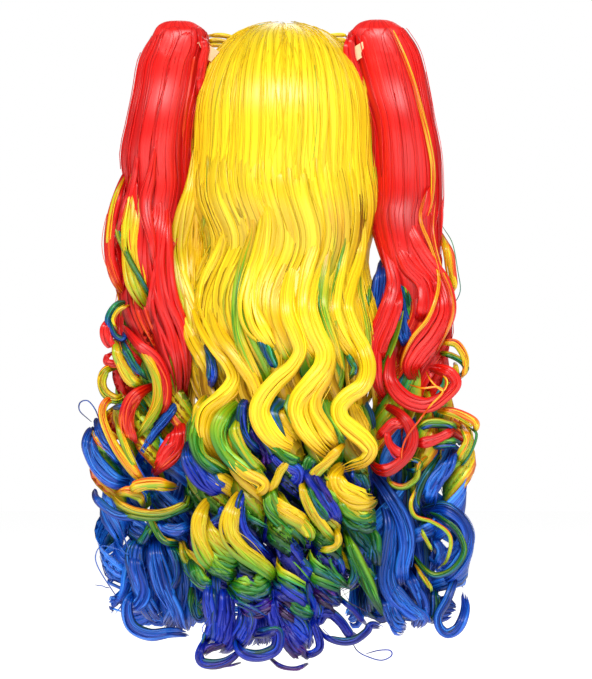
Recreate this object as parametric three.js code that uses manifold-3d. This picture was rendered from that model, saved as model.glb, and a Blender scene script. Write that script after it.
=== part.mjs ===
// Long curly wig with two ponytails: a net cap, hair sewn round it, and a clip under each ponytail.
// Millimetres, +Z up. The wearer faces +Y, so the back of the hair faces -Y.
// The origin is the top of the head, inside the crown of the cap.
import * as THREE from "three";
import { mergeVertices } from "three/addons/utils/BufferGeometryUtils.js";
import ManifoldModule from "manifold-3d";

const wasm = await ManifoldModule();
wasm.setup();
const { Manifold, Mesh: ManifoldMesh } = wasm;

// Head that the cap fits: half width, half depth, crown to widest level, fullness of the dome
const HEAD_HALF_WIDTH = 76;
const HEAD_HALF_DEPTH = 96;
const HEAD_RISE = 99;
const DOME_FULLNESS = 2.3;

// Cap: wall, and the rim as an angle from the crown at the side, with its swing to nape and brow
const CAP_WALL = 1.6;
const RIM_SIDE = 97.5;
const RIM_SWING = 27.5;
const CAP_COLUMNS = 32;
const CAP_ROWS = 6;

// Hair on the cap: gap to the cap, thickness, lock ridges, and how far the crown hair stops above the rim
const FIT_GAP = 0.4;
const HAIR_THICK = 7;
const RIDGE_STEP = 24;
const RIDGE_HEIGHT = 0.8;
const CROWN_STOP = 33;
const SEAM = 0.5;
const HAIR_INNER = CAP_WALL + FIT_GAP;

// Waves: depth below the crown where they start and settle, and their pitch at those depths
const BASE_WAVE = { start: 150, settle: 400, longPitch: 140, shortPitch: 80, swing: 10 };
const TAIL_WAVE = { start: 200, settle: 340, longPitch: 130, shortPitch: 105, swing: 8 };

// Sections of hanging hair: edges in azimuth from the back, depth where the waved sheet ends, its scallops
const SECTIONS = {
  back_hair_left: { from: -78, to: -26, drop: 322, scallop: 16, columns: 6, rows: 8 },
  back_hair_centre: { from: -25.6, to: 25.6, drop: 326, scallop: 16, columns: 6, rows: 8 },
  back_hair_right: { from: 26, to: 78, drop: 322, scallop: 16, columns: 6, rows: 8 },
  side_hair_left: { from: -128, to: -78.4, drop: 262, scallop: 14, columns: 6, rows: 5 },
  side_hair_right: { from: 78.4, to: 128, drop: 262, scallop: 14, columns: 6, rows: 5 },
  fringe: { from: 128.4, to: 231.6, drop: 116, scallop: 9, columns: 12, rows: 4 },
};

// Ringlets under each section: azimuth where it leaves the sheet, its tip, curl radius and half width
const RINGLETS = {
  back_hair_left: [
    { azimuth: -70, tipX: -78, tipY: -42, drop: 556, coil: 8, broad: 13 },
    { azimuth: -47, tipX: -59, tipY: -82, drop: 584, coil: 11, broad: 15 },
    { azimuth: -34, tipX: -43, tipY: -73, drop: 552, coil: 9, broad: 13 },
  ],
  back_hair_centre: [
    { azimuth: -18, tipX: -30, tipY: -99, drop: 580, coil: 11, broad: 15 },
    { azimuth: 8, tipX: 8, tipY: -103, drop: 588, coil: 11, broad: 15 },
    { azimuth: -5, tipX: -9, tipY: -83, drop: 562, coil: 9, broad: 13 },
  ],
  back_hair_right: [
    { azimuth: 32, tipX: 40, tipY: -96, drop: 574, coil: 11, broad: 15 },
    { azimuth: 52, tipX: 69, tipY: -72, drop: 560, coil: 11, broad: 15 },
    { azimuth: 42, tipX: 44, tipY: -71, drop: 548, coil: 9, broad: 13 },
    { azimuth: 72, tipX: 78, tipY: -36, drop: 540, coil: 8, broad: 13 },
  ],
  side_hair_left: [
    { azimuth: -90, tipX: -70, tipY: 12, drop: 428, coil: 8, broad: 13 },
    { azimuth: -114, tipX: -64, tipY: 52, drop: 404, coil: 8, broad: 13 },
  ],
  side_hair_right: [
    { azimuth: 90, tipX: 70, tipY: 12, drop: 428, coil: 8, broad: 13 },
    { azimuth: 114, tipX: 64, tipY: 52, drop: 404, coil: 8, broad: 13 },
  ],
  fringe: [],
};
const RINGLET_ROOT = 34;
const RINGLET_THICK = 8.5;
const RINGLET_STEP = 19;

// Ponytails from the clip over the top and down: height, distance out on each side, spread of the bundle
const TAIL_PATH = [
  { z: -28, left: 77, right: 75, spread: 0.7 },
  { z: -18, left: 93, right: 91, spread: 0.85 },
  { z: -40, left: 107, right: 104, spread: 0.98 },
  { z: -86, left: 115, right: 111, spread: 1 },
  { z: -145, left: 120, right: 116, spread: 1.05 },
  { z: -205, left: 131, right: 119, spread: 1 },
  { z: -262, left: 124, right: 126, spread: 0.98 },
  { z: -330, left: 124, right: 120, spread: 1.1 },
  { z: -405, left: 130, right: 128, spread: 1.3 },
  { z: -485, left: 129, right: 130, spread: 1.35 },
  { z: -568, left: 119, right: 124, spread: 1.15 },
];
const TAIL_BODY_ROWS = 7;
const TAIL_DEPTH = -18;
const TAIL_HALF_WIDTH = 30;
const TAIL_HALF_DEPTH = 23;
const TAIL_SIDES = 10;
const TAIL_FLUTE = 0.07;

// Ringlets of a ponytail: the way each faces, its end along the path, phase, curl, half width and thickness
const TAIL_RINGLETS = [
  { face: 12, end: 0.92, phase: 0.1, coil: 13, broad: 18, thick: 10 },
  { face: -80, end: 0.95, phase: 0.02, coil: 14, broad: 17, thick: 10 },
  { face: -165, end: 0.94, phase: 0.1, coil: 13, broad: 17, thick: 10 },
  { face: 95, end: 1, phase: 0.15, coil: 11, broad: 18, thick: 10 },
];
const TAIL_LEAVES = 0.5;

// Clip that joins the gathered end of a ponytail to the crown
const CLIP = { x: 64, y: -18, z: -25, long: 40, wide: 30, tall: 12, tilt: 33, round: 4 };
const CLEAR = 0.6;
const TAIL_CLEAR = 1.2;

const rad = THREE.MathUtils.degToRad;
const ramp = THREE.MathUtils.smoothstep;

// Angle of the cap's rim from the crown, in degrees
function rimAngle(azimuth) {
  return RIM_SIDE + RIM_SWING * Math.cos(rad(azimuth));
}

// Point off the head: azimuth from the back towards +X, angle down from the crown
function headPoint(azimuth, polar, offset) {
  const power = 2 / DOME_FULLNESS;
  const across = Math.pow(Math.max(Math.sin(rad(polar)), 0), power);
  const cosine = Math.cos(rad(polar));
  const up = Math.sign(cosine) * Math.pow(Math.abs(cosine), power);
  return new THREE.Vector3(
    (HEAD_HALF_WIDTH + offset) * across * Math.sin(rad(azimuth)),
    -(HEAD_HALF_DEPTH + offset) * across * Math.cos(rad(azimuth)),
    (HEAD_RISE + offset) * up - HEAD_RISE,
  );
}

// Turns of a wave at a depth: the pitch shortens evenly from start to settle, then holds
function waveTurns(depth, wave) {
  const span = wave.settle - wave.start;
  const loss = wave.longPitch - wave.shortPitch;
  const pitch = wave.longPitch - (loss * THREE.MathUtils.clamp(depth - wave.start, 0, span)) / span;
  const turns = (span / loss) * Math.log(wave.longPitch / pitch);
  const before = Math.min(depth - wave.start, 0) / wave.longPitch;
  return turns + before + Math.max(depth - wave.settle, 0) / wave.shortPitch;
}

// Phase of the base hair's waves, in turns: it steps over from left to right of the middle
function wavePhase(azimuth) {
  return 0.2 * Math.tanh((azimuth + 8) / 14) - 0.2;
}

// Point of hanging hair: on the dome above its widest level, straight down below, swayed by the wave
function hangPoint(azimuth, depth, offset) {
  const high = Math.max(HEAD_RISE - depth, 0) / (HEAD_RISE + offset);
  const across = Math.pow(1 - Math.pow(Math.min(high, 1), DOME_FULLNESS), 1 / DOME_FULLNESS);
  const angle = 2 * Math.PI * (waveTurns(depth, BASE_WAVE) - wavePhase(azimuth));
  const sway = BASE_WAVE.swing * ramp(depth, BASE_WAVE.start - 10, BASE_WAVE.start + 110) * Math.sin(angle);
  return new THREE.Vector3(
    (HEAD_HALF_WIDTH + offset) * across * Math.sin(rad(azimuth)) + sway * Math.cos(rad(azimuth)),
    -(HEAD_HALF_DEPTH + offset) * across * Math.cos(rad(azimuth)) + sway * Math.sin(rad(azimuth)),
    -depth,
  );
}

// Closed geometry from four-cornered faces; faces that shrink to a line at a pole are left out
function closedGeometry(quads) {
  const corners = [];
  for (const [a, b, c, d] of quads) {
    for (const point of [a, b, c, a, c, d]) {
      corners.push(point.x, point.y, point.z);
    }
  }
  const soup = new THREE.BufferGeometry();
  soup.setAttribute("position", new THREE.Float32BufferAttribute(corners, 3));
  const merged = mergeVertices(soup, 1e-4);
  const index = merged.getIndex().array;
  const kept = [];
  for (let i = 0; i < index.length; i += 3) {
    const [a, b, c] = [index[i], index[i + 1], index[i + 2]];
    if (a !== b && b !== c && c !== a) {
      kept.push(a, b, c);
    }
  }
  merged.setIndex(kept);
  return merged;
}

// Wall between an outer and an inner grid of points; a ring of columns closes on itself
function wallGeometry(outer, inner, columns, rows, ring) {
  const quads = [];
  for (let i = 0; i < columns; i += 1) {
    const n = ring ? (i + 1) % columns : i + 1;
    for (let j = 0; j < rows; j += 1) {
      quads.push([outer[i][j], outer[i][j + 1], outer[n][j + 1], outer[n][j]]);
      quads.push([inner[i][j], inner[n][j], inner[n][j + 1], inner[i][j + 1]]);
    }
    quads.push([outer[n][rows], outer[i][rows], inner[i][rows], inner[n][rows]]);
    quads.push([outer[i][0], outer[n][0], inner[n][0], inner[i][0]]);
  }
  for (let j = 0; j < rows && !ring; j += 1) {
    quads.push([outer[0][j + 1], outer[0][j], inner[0][j], inner[0][j + 1]]);
    quads.push([outer[columns][j], outer[columns][j + 1], inner[columns][j + 1], inner[columns][j]]);
  }
  return closedGeometry(quads);
}

// Grid of points from a function of column and row
function grid(columns, rows, at) {
  return Array.from({ length: columns + 1 }, (_, i) => Array.from({ length: rows + 1 }, (__, j) => at(i, j)));
}

// Tube through rings of points, closed by flat ends
function tubeGeometry(rings) {
  const last = rings.length - 1;
  const sides = rings[0].length;
  const quads = [];
  for (let s = 0; s < last; s += 1) {
    for (let k = 0; k < sides; k += 1) {
      const n = (k + 1) % sides;
      quads.push([rings[s][k], rings[s][n], rings[s + 1][n], rings[s + 1][k]]);
    }
  }
  for (let k = 1; k + 1 < sides; k += 1) {
    quads.push([rings[0][0], rings[0][k + 1], rings[0][k], rings[0][k]]);
    quads.push([rings[last][0], rings[last][k], rings[last][k + 1], rings[last][k + 1]]);
  }
  return closedGeometry(quads);
}

// Solid for joining and cutting, and back to geometry
function toSolid(geometry) {
  const merged = mergeVertices(geometry, 1e-4);
  return new Manifold(
    new ManifoldMesh({
      numProp: 3,
      vertProperties: new Float32Array(merged.getAttribute("position").array),
      triVerts: new Uint32Array(merged.getIndex().array),
    }),
  );
}

function toGeometry(solid) {
  const mesh = solid.getMesh();
  const geometry = new THREE.BufferGeometry();
  geometry.setAttribute("position", new THREE.BufferAttribute(new Float32Array(mesh.vertProperties), 3));
  geometry.setIndex(new THREE.BufferAttribute(new Uint32Array(mesh.triVerts), 1));
  return geometry;
}

const join = (solids) => solids.reduce((whole, solid) => whole.add(solid));

// The main body of a cut solid, without crumbs that the cut left loose
function mainBody(solid) {
  return solid.decompose().reduce((best, body) => (body.volume() > best.volume() ? body : best));
}

// Closed form at an offset from the cap, with the cap's own facets, for clearing what lies on it
function capForm(offset) {
  const below = 3;
  const points = grid(CAP_COLUMNS, CAP_ROWS + below, (i, j) => {
    const azimuth = (360 * (i % CAP_COLUMNS)) / CAP_COLUMNS;
    const rim = rimAngle(azimuth);
    const polar = j <= CAP_ROWS ? (rim * j) / CAP_ROWS : rim + ((180 - rim) * (j - CAP_ROWS)) / below;
    return headPoint(azimuth, polar, offset);
  });
  const quads = [];
  for (let i = 0; i < CAP_COLUMNS; i += 1) {
    for (let j = 0; j < CAP_ROWS + below; j += 1) {
      quads.push([points[i][j], points[i][j + 1], points[i + 1][j + 1], points[i + 1][j]]);
    }
  }
  return toSolid(closedGeometry(quads));
}

// Height of the ridge that a lock makes in hair lying on the cap
function ridge(azimuth) {
  return RIDGE_HEIGHT * Math.cos((2 * Math.PI * azimuth) / RIDGE_STEP);
}

// Net cap, an open dome
const capLayer = (offset) =>
  grid(CAP_COLUMNS, CAP_ROWS, (i, j) => {
    const azimuth = (360 * (i % CAP_COLUMNS)) / CAP_COLUMNS;
    return headPoint(azimuth, (rimAngle(azimuth) * j) / CAP_ROWS, offset);
  });
const capGeometry = wallGeometry(capLayer(CAP_WALL), capLayer(0), CAP_COLUMNS, CAP_ROWS, true);
const clearOfCap = capForm(HAIR_INNER);

// Crown hair: it covers the cap down to the sections of hanging hair
const CROWN_COLUMNS = 30;
const CROWN_ROWS = 5;

function crownEdge(azimuth) {
  return -headPoint(azimuth, rimAngle(azimuth) - CROWN_STOP, HAIR_INNER + HAIR_THICK).z;
}

const crownLayer = (thick) =>
  grid(CROWN_COLUMNS, CROWN_ROWS, (i, j) => {
    const azimuth = (360 * (i % CROWN_COLUMNS)) / CROWN_COLUMNS;
    const share = j / CROWN_ROWS;
    const top = -(thick + HAIR_INNER);
    const depth = top + (crownEdge(azimuth) - top) * share * share;
    const rise = thick > 0 ? ridge(azimuth) * ramp(share, 0.4, 1) : 0;
    const point = hangPoint(azimuth, depth, HAIR_INNER + thick + rise);
    return j === 0 ? new THREE.Vector3(0, 0, -top) : point;
  });
const crownSkin = crownLayer(HAIR_THICK);
const crownWall = wallGeometry(crownSkin, crownLayer(-HAIR_INNER), CROWN_COLUMNS, CROWN_ROWS, true);
const crownHair = toSolid(crownWall).subtract(clearOfCap);

// Waved sheet of a section, with ridges where its locks lie and a scalloped lower edge
function sheetSolid(section, grow) {
  const { from, to, columns, rows } = section;
  const layer = (offset, ridged) =>
    grid(columns, rows, (i, j) => {
      const edge = i === 0 ? -grow : i === columns ? grow : 0;
      const azimuth = from + edge + ((to - from) * i) / columns;
      const top = crownEdge(azimuth) + SEAM - grow;
      const low = section.drop - section.scallop * (i % 2) + grow;
      return hangPoint(azimuth, top + ((low - top) * j) / rows, offset + (ridged ? ridge(azimuth) : 0));
    });
  const outer = layer(HAIR_INNER + HAIR_THICK + grow, true);
  const inner = layer(HAIR_INNER - grow - 1.5, false);
  return toSolid(wallGeometry(outer, inner, columns, rows, false));
}

// Ringlet: a tapered oval lock that coils round its guide, broad side outwards
function ringletSolid({ guide, outward, wave, phase, coil, broad, thick, steps, sides, grow, flip }) {
  const centres = [];
  const faces = [];
  for (let s = 0; s <= steps; s += 1) {
    const point = guide(s / steps);
    const along = guide(s / steps + 0.01).sub(guide(s / steps - 0.01)).normalize();
    const out = outward(along);
    const side = new THREE.Vector3().crossVectors(out, along).normalize();
    const angle = 2 * Math.PI * (waveTurns(-point.z, wave) - phase);
    const open = ramp(-point.z, wave.settle - 110, wave.settle);
    const swing = wave.swing + (coil - wave.swing) * open;
    point.addScaledVector(side, swing * Math.sin(angle));
    point.addScaledVector(out, coil * open * Math.cos(angle));
    centres.push(point);
    faces.push(out);
  }
  const rings = centres.map((centre, s) => {
    const along = centres[Math.min(s + 1, steps)].clone().sub(centres[Math.max(s - 1, 0)]).normalize();
    const across = new THREE.Vector3().crossVectors(faces[s], along).normalize();
    const normal = new THREE.Vector3().crossVectors(along, across);
    const taper = 1 - 0.5 * ramp(s / steps, 0.7, 1);
    const middle = centre.clone().addScaledVector(along, s === 0 ? -grow : s === steps ? grow : 0);
    const ring = Array.from({ length: sides }, (_, k) => {
      const turn = (2 * Math.PI * (flip ? sides - k : k)) / sides;
      const corner = middle.clone();
      corner.addScaledVector(across, (broad * taper + grow) * Math.cos(turn));
      corner.addScaledVector(normal, (thick * taper + grow) * Math.sin(turn));
      return flip ? corner.setX(-corner.x) : corner;
    });
    return ring;
  });
  return toSolid(tubeGeometry(rings));
}

// Section of hanging hair: its sheet with the ringlets fused to it
function hairSection(name, grow) {
  const section = SECTIONS[name];
  const ringlets = RINGLETS[name].map((row) => {
    const start = section.drop - RINGLET_ROOT;
    const root = new THREE.Vector3(
      (HEAD_HALF_WIDTH + HAIR_INNER + 3) * Math.sin(rad(row.azimuth)),
      -(HEAD_HALF_DEPTH + HAIR_INNER + 3) * Math.cos(rad(row.azimuth)),
      -start,
    );
    const tip = new THREE.Vector3(row.tipX, row.tipY, -row.drop);
    const out = new THREE.Vector3(Math.sin(rad(row.azimuth)), -Math.cos(rad(row.azimuth)), 0);
    return ringletSolid({
      guide: (t) => root.clone().lerp(tip, t),
      outward: () => out.clone(),
      wave: BASE_WAVE,
      phase: wavePhase(row.azimuth),
      coil: row.coil,
      broad: row.broad,
      thick: RINGLET_THICK,
      steps: Math.round((row.drop - start) / RINGLET_STEP),
      sides: row.broad > 13 ? 6 : 5,
      grow,
      flip: false,
    });
  });
  return join([sheetSolid(section, grow), ...ringlets]).subtract(clearOfCap);
}

const backCentre = hairSection("back_hair_centre", 0);
const aroundCentre = hairSection("back_hair_centre", CLEAR);
const backLeft = mainBody(hairSection("back_hair_left", 0).subtract(aroundCentre).subtract(backCentre));
const backRight = mainBody(hairSection("back_hair_right", 0).subtract(aroundCentre).subtract(backCentre));
const aroundLeft = hairSection("back_hair_left", CLEAR);
const aroundRight = hairSection("back_hair_right", CLEAR);
const sideLeft = mainBody(hairSection("side_hair_left", 0).subtract(aroundLeft));
const sideRight = mainBody(hairSection("side_hair_right", 0).subtract(aroundRight));
const fringe = hairSection("fringe", 0);

// Path of a ponytail on one side; worked out on the left and mirrored for the right
function tailPath(side) {
  const points = TAIL_PATH.map((row) => new THREE.Vector3(-row[side], TAIL_DEPTH, row.z));
  return new THREE.CatmullRomCurve3(points, false, "catmullrom", 0.5);
}

function tailSpread(t) {
  const place = THREE.MathUtils.clamp(t, 0, 1) * (TAIL_PATH.length - 1);
  const row = Math.min(Math.floor(place), TAIL_PATH.length - 2);
  return THREE.MathUtils.lerp(TAIL_PATH[row].spread, TAIL_PATH[row + 1].spread, place - row);
}

// Fluted body and ringlets of a ponytail
function tailSolid(side, grow) {
  const flip = side === "right";
  const path = tailPath(side);
  const depthwise = new THREE.Vector3(0, 1, 0);
  const outside = (along) => new THREE.Vector3().crossVectors(along, depthwise).normalize();
  const bodySteps = 2 * (TAIL_BODY_ROWS - 1);
  const bodyRings = Array.from({ length: bodySteps + 1 }, (_, s) => {
    const t = s / 2 / (TAIL_PATH.length - 1);
    const centre = path.getPoint(t);
    const out = outside(path.getTangent(t));
    const spread = tailSpread(t) * (s === bodySteps ? 0.8 : 1);
    return Array.from({ length: TAIL_SIDES }, (__, k) => {
      const turn = (2 * Math.PI * (flip ? TAIL_SIDES - k : k)) / TAIL_SIDES;
      const flute = 1 - TAIL_FLUTE * (k % 2);
      const corner = centre.clone();
      corner.addScaledVector(out, (TAIL_HALF_WIDTH * spread * flute + grow) * Math.cos(turn));
      corner.addScaledVector(depthwise, -(TAIL_HALF_DEPTH * spread * flute + grow) * Math.sin(turn));
      return flip ? corner.setX(-corner.x) : corner;
    });
  });
  const ringlets = TAIL_RINGLETS.map((row) =>
    ringletSolid({
      guide: (share) => {
        const t = Math.min(THREE.MathUtils.lerp(TAIL_LEAVES, row.end, share), 1);
        const point = path.getPoint(t);
        const out = outside(path.getTangent(t));
        const reach = 0.7 * tailSpread(t);
        point.addScaledVector(out, -TAIL_HALF_WIDTH * reach * Math.sin(rad(row.face)));
        return point.addScaledVector(depthwise, -TAIL_HALF_DEPTH * reach * Math.cos(rad(row.face)));
      },
      outward: (along) => {
        const out = outside(along).multiplyScalar(-Math.sin(rad(row.face)));
        return out.addScaledVector(depthwise, -Math.cos(rad(row.face)));
      },
      wave: TAIL_WAVE,
      phase: row.phase,
      coil: row.coil,
      broad: row.broad,
      thick: row.thick,
      steps: 16,
      sides: 6,
      grow,
      flip,
    }),
  );
  return join([toSolid(tubeGeometry(bodyRings)), ...ringlets]);
}

const crownForm = capForm(HAIR_INNER + HAIR_THICK + RIDGE_HEIGHT + 1);

function clearTail(side, hair) {
  const around = [`back_hair_${side}`, `side_hair_${side}`].map((name) => hairSection(name, TAIL_CLEAR));
  return mainBody(tailSolid(side, 0).subtract(join([crownForm, ...around])).subtract(join(hair)));
}

const tailLeft = clearTail("left", [backLeft, sideLeft]);
const tailRight = clearTail("right", [backRight, sideRight]);

// Clip: a rounded block that stands on the crown hair and reaches the ponytail's root
function clipSolid(side) {
  const flip = side === "right";
  const x = CLIP.long / 2;
  const y = CLIP.tall / 2;
  const r = CLIP.round;
  const outline = new THREE.Shape();
  outline.moveTo(-x + r, -y);
  outline.lineTo(x - r, -y);
  outline.absarc(x - r, -y + r, r, -Math.PI / 2, 0);
  outline.absarc(x - r, y - r, r, 0, Math.PI / 2);
  outline.absarc(-x + r, y - r, r, Math.PI / 2, Math.PI);
  outline.absarc(-x + r, -y + r, r, Math.PI, 1.5 * Math.PI);
  const options = { depth: CLIP.wide, bevelEnabled: false, curveSegments: 3 };
  const block = new THREE.ExtrudeGeometry(outline, options);
  block.deleteAttribute("normal");
  block.deleteAttribute("uv");
  block.rotateX(Math.PI / 2);
  block.translate(0, CLIP.wide / 2, 0);
  block.rotateY(rad(flip ? -CLIP.tilt : CLIP.tilt));
  block.translate(flip ? CLIP.x : -CLIP.x, CLIP.y, CLIP.z);
  return mainBody(toSolid(block).subtract(crownForm).subtract(tailSolid(side, CLEAR)));
}

// Assembly
const FINISHES = {
  net: { color: 0xd9b64a, roughness: 0.85, metalness: 0 },
  base_hair: { color: 0xffd928, roughness: 0.45, metalness: 0 },
  tail_hair: { color: 0xf2231e, roughness: 0.45, metalness: 0 },
  clip: { color: 0xf6c79a, roughness: 0.4, metalness: 0 },
};

const wig = new THREE.Group();
wig.name = "curly_wig";

function addPiece(name, geometry, finish) {
  const mesh = new THREE.Mesh(geometry, new THREE.MeshStandardMaterial(FINISHES[finish]));
  mesh.name = name;
  wig.add(mesh);
}

addPiece("wig_cap", capGeometry, "net");
addPiece("crown_hair", toGeometry(crownHair), "base_hair");
addPiece("back_hair_left", toGeometry(backLeft), "base_hair");
addPiece("back_hair_centre", toGeometry(backCentre), "base_hair");
addPiece("back_hair_right", toGeometry(backRight), "base_hair");
addPiece("side_hair_left", toGeometry(sideLeft), "base_hair");
addPiece("side_hair_right", toGeometry(sideRight), "base_hair");
addPiece("fringe", toGeometry(fringe), "base_hair");
addPiece("left_ponytail", toGeometry(tailLeft), "tail_hair");
addPiece("right_ponytail", toGeometry(tailRight), "tail_hair");
addPiece("left_clip", toGeometry(clipSolid("left")), "clip");
addPiece("right_clip", toGeometry(clipSolid("right")), "clip");

export default wig;
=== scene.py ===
"""Long curly party wig with a smooth yellow crown, rainbow ringlets and two red ponytails."""
from functools import partial
import bpy
import numpy as np
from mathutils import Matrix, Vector


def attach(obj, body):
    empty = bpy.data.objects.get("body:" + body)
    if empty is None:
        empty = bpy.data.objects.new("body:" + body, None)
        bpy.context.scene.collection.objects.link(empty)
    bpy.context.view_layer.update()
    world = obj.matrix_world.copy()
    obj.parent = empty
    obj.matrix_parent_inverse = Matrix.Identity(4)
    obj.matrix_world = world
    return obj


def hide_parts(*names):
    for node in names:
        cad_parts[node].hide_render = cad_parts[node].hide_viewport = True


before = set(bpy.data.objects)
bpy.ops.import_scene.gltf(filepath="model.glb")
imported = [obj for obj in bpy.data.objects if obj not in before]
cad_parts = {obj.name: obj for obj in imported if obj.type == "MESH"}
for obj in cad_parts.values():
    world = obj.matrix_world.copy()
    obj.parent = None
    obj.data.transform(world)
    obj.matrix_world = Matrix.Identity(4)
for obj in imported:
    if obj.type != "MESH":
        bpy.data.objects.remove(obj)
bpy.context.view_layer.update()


# Wig cap
# A dome of open stretch net with a folded tape round its rim and rows of sewing tape across it.
# The net is knitted, and the hair is sewn to the tapes; it is pulled over the head from above.
MM = 0.001
HEAD_WIDE, HEAD_LONG, HEAD_RISE, FULLNESS = 76 * MM, 96 * MM, 99 * MM, 2.3
RIM_MEAN, RIM_DIP = 97.5, 27.5
CAP_WALL, CAP_GAP, TAPE_PROUD = 1.5 * MM, 0.3 * MM, 0.25 * MM
TAPE_STEP, TAPE_SHARE, RIM_TAPE = 11.0, 0.16, 5.0
ROUND_DEGREE, DOWN_DEGREE = 1.5 * MM, 1.7 * MM
NET_SLANT = 0.9
NET_DYE = ((0.35, (120, 84, 22)), (0.75, (222, 184, 84)))


def rim_angle(turn):
    """Angle of the rim down from the crown, in degrees: its mean, and its dip times the cosine of the turn."""
    return RIM_MEAN + RIM_DIP * np.cos(np.radians(turn))


def head_point(turn, polar, out):
    """Superellipse dome grown by out: across is sin(polar) and up is cos(polar), both to the power of two
    over the fullness. The turn runs from the back towards +X, and polar from the crown down, in degrees."""
    a, p = np.radians(turn), np.radians(polar)
    across = np.abs(np.sin(p)) ** (2 / FULLNESS)
    up = np.sign(np.cos(p)) * np.abs(np.cos(p)) ** (2 / FULLNESS)
    x = (HEAD_WIDE + out) * across * np.sin(a)
    y = -(HEAD_LONG + out) * across * np.cos(a)
    return np.stack(np.broadcast_arrays(x, y, (HEAD_RISE + out) * up - HEAD_RISE), -1)


def tube_faces(n, m):
    """Quads between n rings of m points, then the strips of quads from face to face that close both ends,
    with the place of each corner in the unit square."""
    margin, strip = 0.02, 0.012
    i, j = np.meshgrid(np.arange(n - 1), np.arange(m), indexing="ij")
    k = (j + 1) % m
    sides = np.stack([i * m + j, (i + 1) * m + j, (i + 1) * m + k, i * m + k], -1).reshape(-1, 4)
    u0, u1 = (margin + (1 - 2 * margin) * row / (n - 1) for row in (i, i + 1))
    v0, v1 = j / m, (j + 1) / m
    place = np.stack([u0, v0, u1, v0, u1, v1, u0, v1], -1).reshape(-1, 4, 2)
    a = np.arange(m // 2 - 1)
    cap = np.stack([a, a + 1, m - 2 - a, m - 1 - a], -1)
    low, high = a * 2 / m, (a + 1) * 2 / m
    flat = np.zeros(len(a))
    edge = np.stack([flat, low, flat, high, flat + strip, high, flat + strip, low], -1).reshape(-1, 4, 2)
    faces = np.concatenate([sides, cap, cap[:, ::-1] + (n - 1) * m])
    return faces, np.concatenate([place, edge, edge[:, ::-1] + (1 - strip, 0)])


def bake_cells(parts):
    """Strips stacked in columns, each laid on the column that is least full: corner and size of each strip.
    None is thinner than 3 % of the thickest, and each leaves a gap to the next."""
    thinnest, fill_across, fill_up = 0.03, 0.97, 0.92
    girth = np.array([np.linalg.norm(np.diff(p["points"], axis=1), axis=2).sum(1).max() for p in parts])
    length = max(np.linalg.norm(np.diff(p["points"][:, 0], axis=0), axis=1).sum() for p in parts)
    girth = np.maximum(girth, girth.max() * thinnest)
    columns = max(1, int(round((girth.sum() / length) ** 0.5)))
    filled, cells = np.zeros(columns), []
    for g in girth:
        c = int(filled.argmin())
        cells.append([c / columns, filled[c], fill_across / columns, fill_up * g])
        filled[c] += g
    cells = np.array(cells)
    cells[:, (1, 3)] /= filled.max()
    return cells


def tube_mesh(name, parts):
    """One mesh of closed tubes. Each part has rings of points, a strand place for every point (across and
    through its lock, then along it), its place in the dye from root to tip, and its tone, painted shade included."""
    faces, places, start = [], [], 0
    for part, cell in zip(parts, bake_cells(parts)):
        n, m = part["points"].shape[:2]
        quads, place = tube_faces(n, m)
        faces.append(quads + start)
        places.append(place * cell[2:] + cell[:2])
        start += n * m
    faces, places = np.concatenate(faces), np.concatenate(places)
    mesh = bpy.data.meshes.new(name)
    mesh.vertices.add(start)
    mesh.vertices.foreach_set("co", np.concatenate([p["points"].reshape(-1) for p in parts]))
    mesh.loops.add(faces.size)
    mesh.loops.foreach_set("vertex_index", faces.reshape(-1).astype(np.int32))
    mesh.polygons.add(len(faces))
    mesh.polygons.foreach_set("loop_start", np.arange(0, faces.size, 4, dtype=np.int32))
    mesh.update(calc_edges=True)
    mesh.polygons.foreach_set("use_smooth", np.ones(len(faces), dtype=bool))
    mesh.uv_layers.new(name="OFBake").data.foreach_set("uv", places.reshape(-1).astype(np.float32))
    strand = np.concatenate([p["strand"].reshape(-1) for p in parts])
    mesh.attributes.new("strand", "FLOAT_VECTOR", "POINT").data.foreach_set("vector", strand)
    for key in ("fade", "tone"):
        values = np.concatenate([np.broadcast_to(p[key], p["points"].shape[:2]).reshape(-1) for p in parts])
        mesh.attributes.new(key, "FLOAT", "POINT").data.foreach_set("value", values)
    piece = bpy.data.objects.new(name, mesh)
    bpy.context.collection.objects.link(piece)
    return piece


def show_piece(name, parts, finish, stands_for):
    """The parts as one piece that is seen in place of its solid and rides on the wig."""
    piece = tube_mesh(name, parts)
    piece.data.materials.append(finish)
    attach(piece, "root")
    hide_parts(stands_for)


def dyed(red, green, blue):
    """Linear colour of a dye or plastic given in screen values of 0 to 255."""
    c = np.array([red, green, blue]) / 255
    return (*np.where(c < 0.04045, c / 12.92, ((c + 0.055) / 1.055) ** 2.4), 1.0)


def feed(tree, made, inputs):
    """Each given input of a node, linked to a socket or set to a value."""
    for key, value in inputs.items():
        if isinstance(value, bpy.types.NodeSocket):
            tree.links.new(value, made.inputs[key])
        else:
            made.inputs[key].default_value = value


def node(tree, kind, inputs=None, **settings):
    """The outputs of a new node of the tree, with its settings made and its inputs fed."""
    made = tree.nodes.new(kind)
    for key, value in settings.items():
        setattr(made, key, value)
    feed(tree, made, inputs or {})
    return made.outputs


def mapped(tree, value, low, high):
    """A value from 0 to 1 mapped on to low to high."""
    return node(tree, "ShaderNodeMapRange", {"Value": value, "To Min": low, "To Max": high})[0]


def dye_ramp(tree, place, dye):
    """Colour read from the dye at a place, on a ramp with one stop for each of its rows."""
    read = node(tree, "ShaderNodeValToRGB", {"Fac": place})["Color"]
    stops = read.node.color_ramp.elements
    for k, (at, colour) in enumerate(dye):
        stop = stops[k] if k < 2 else stops.new(at)
        stop.position, stop.color = at, dyed(*colour)
    return read


def new_finish(name):
    """A new material, its node tree and the shader in it."""
    finish = bpy.data.materials.new(name)
    finish.use_nodes = True
    return finish, finish.node_tree, finish.node_tree.nodes["Principled BSDF"]


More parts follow.
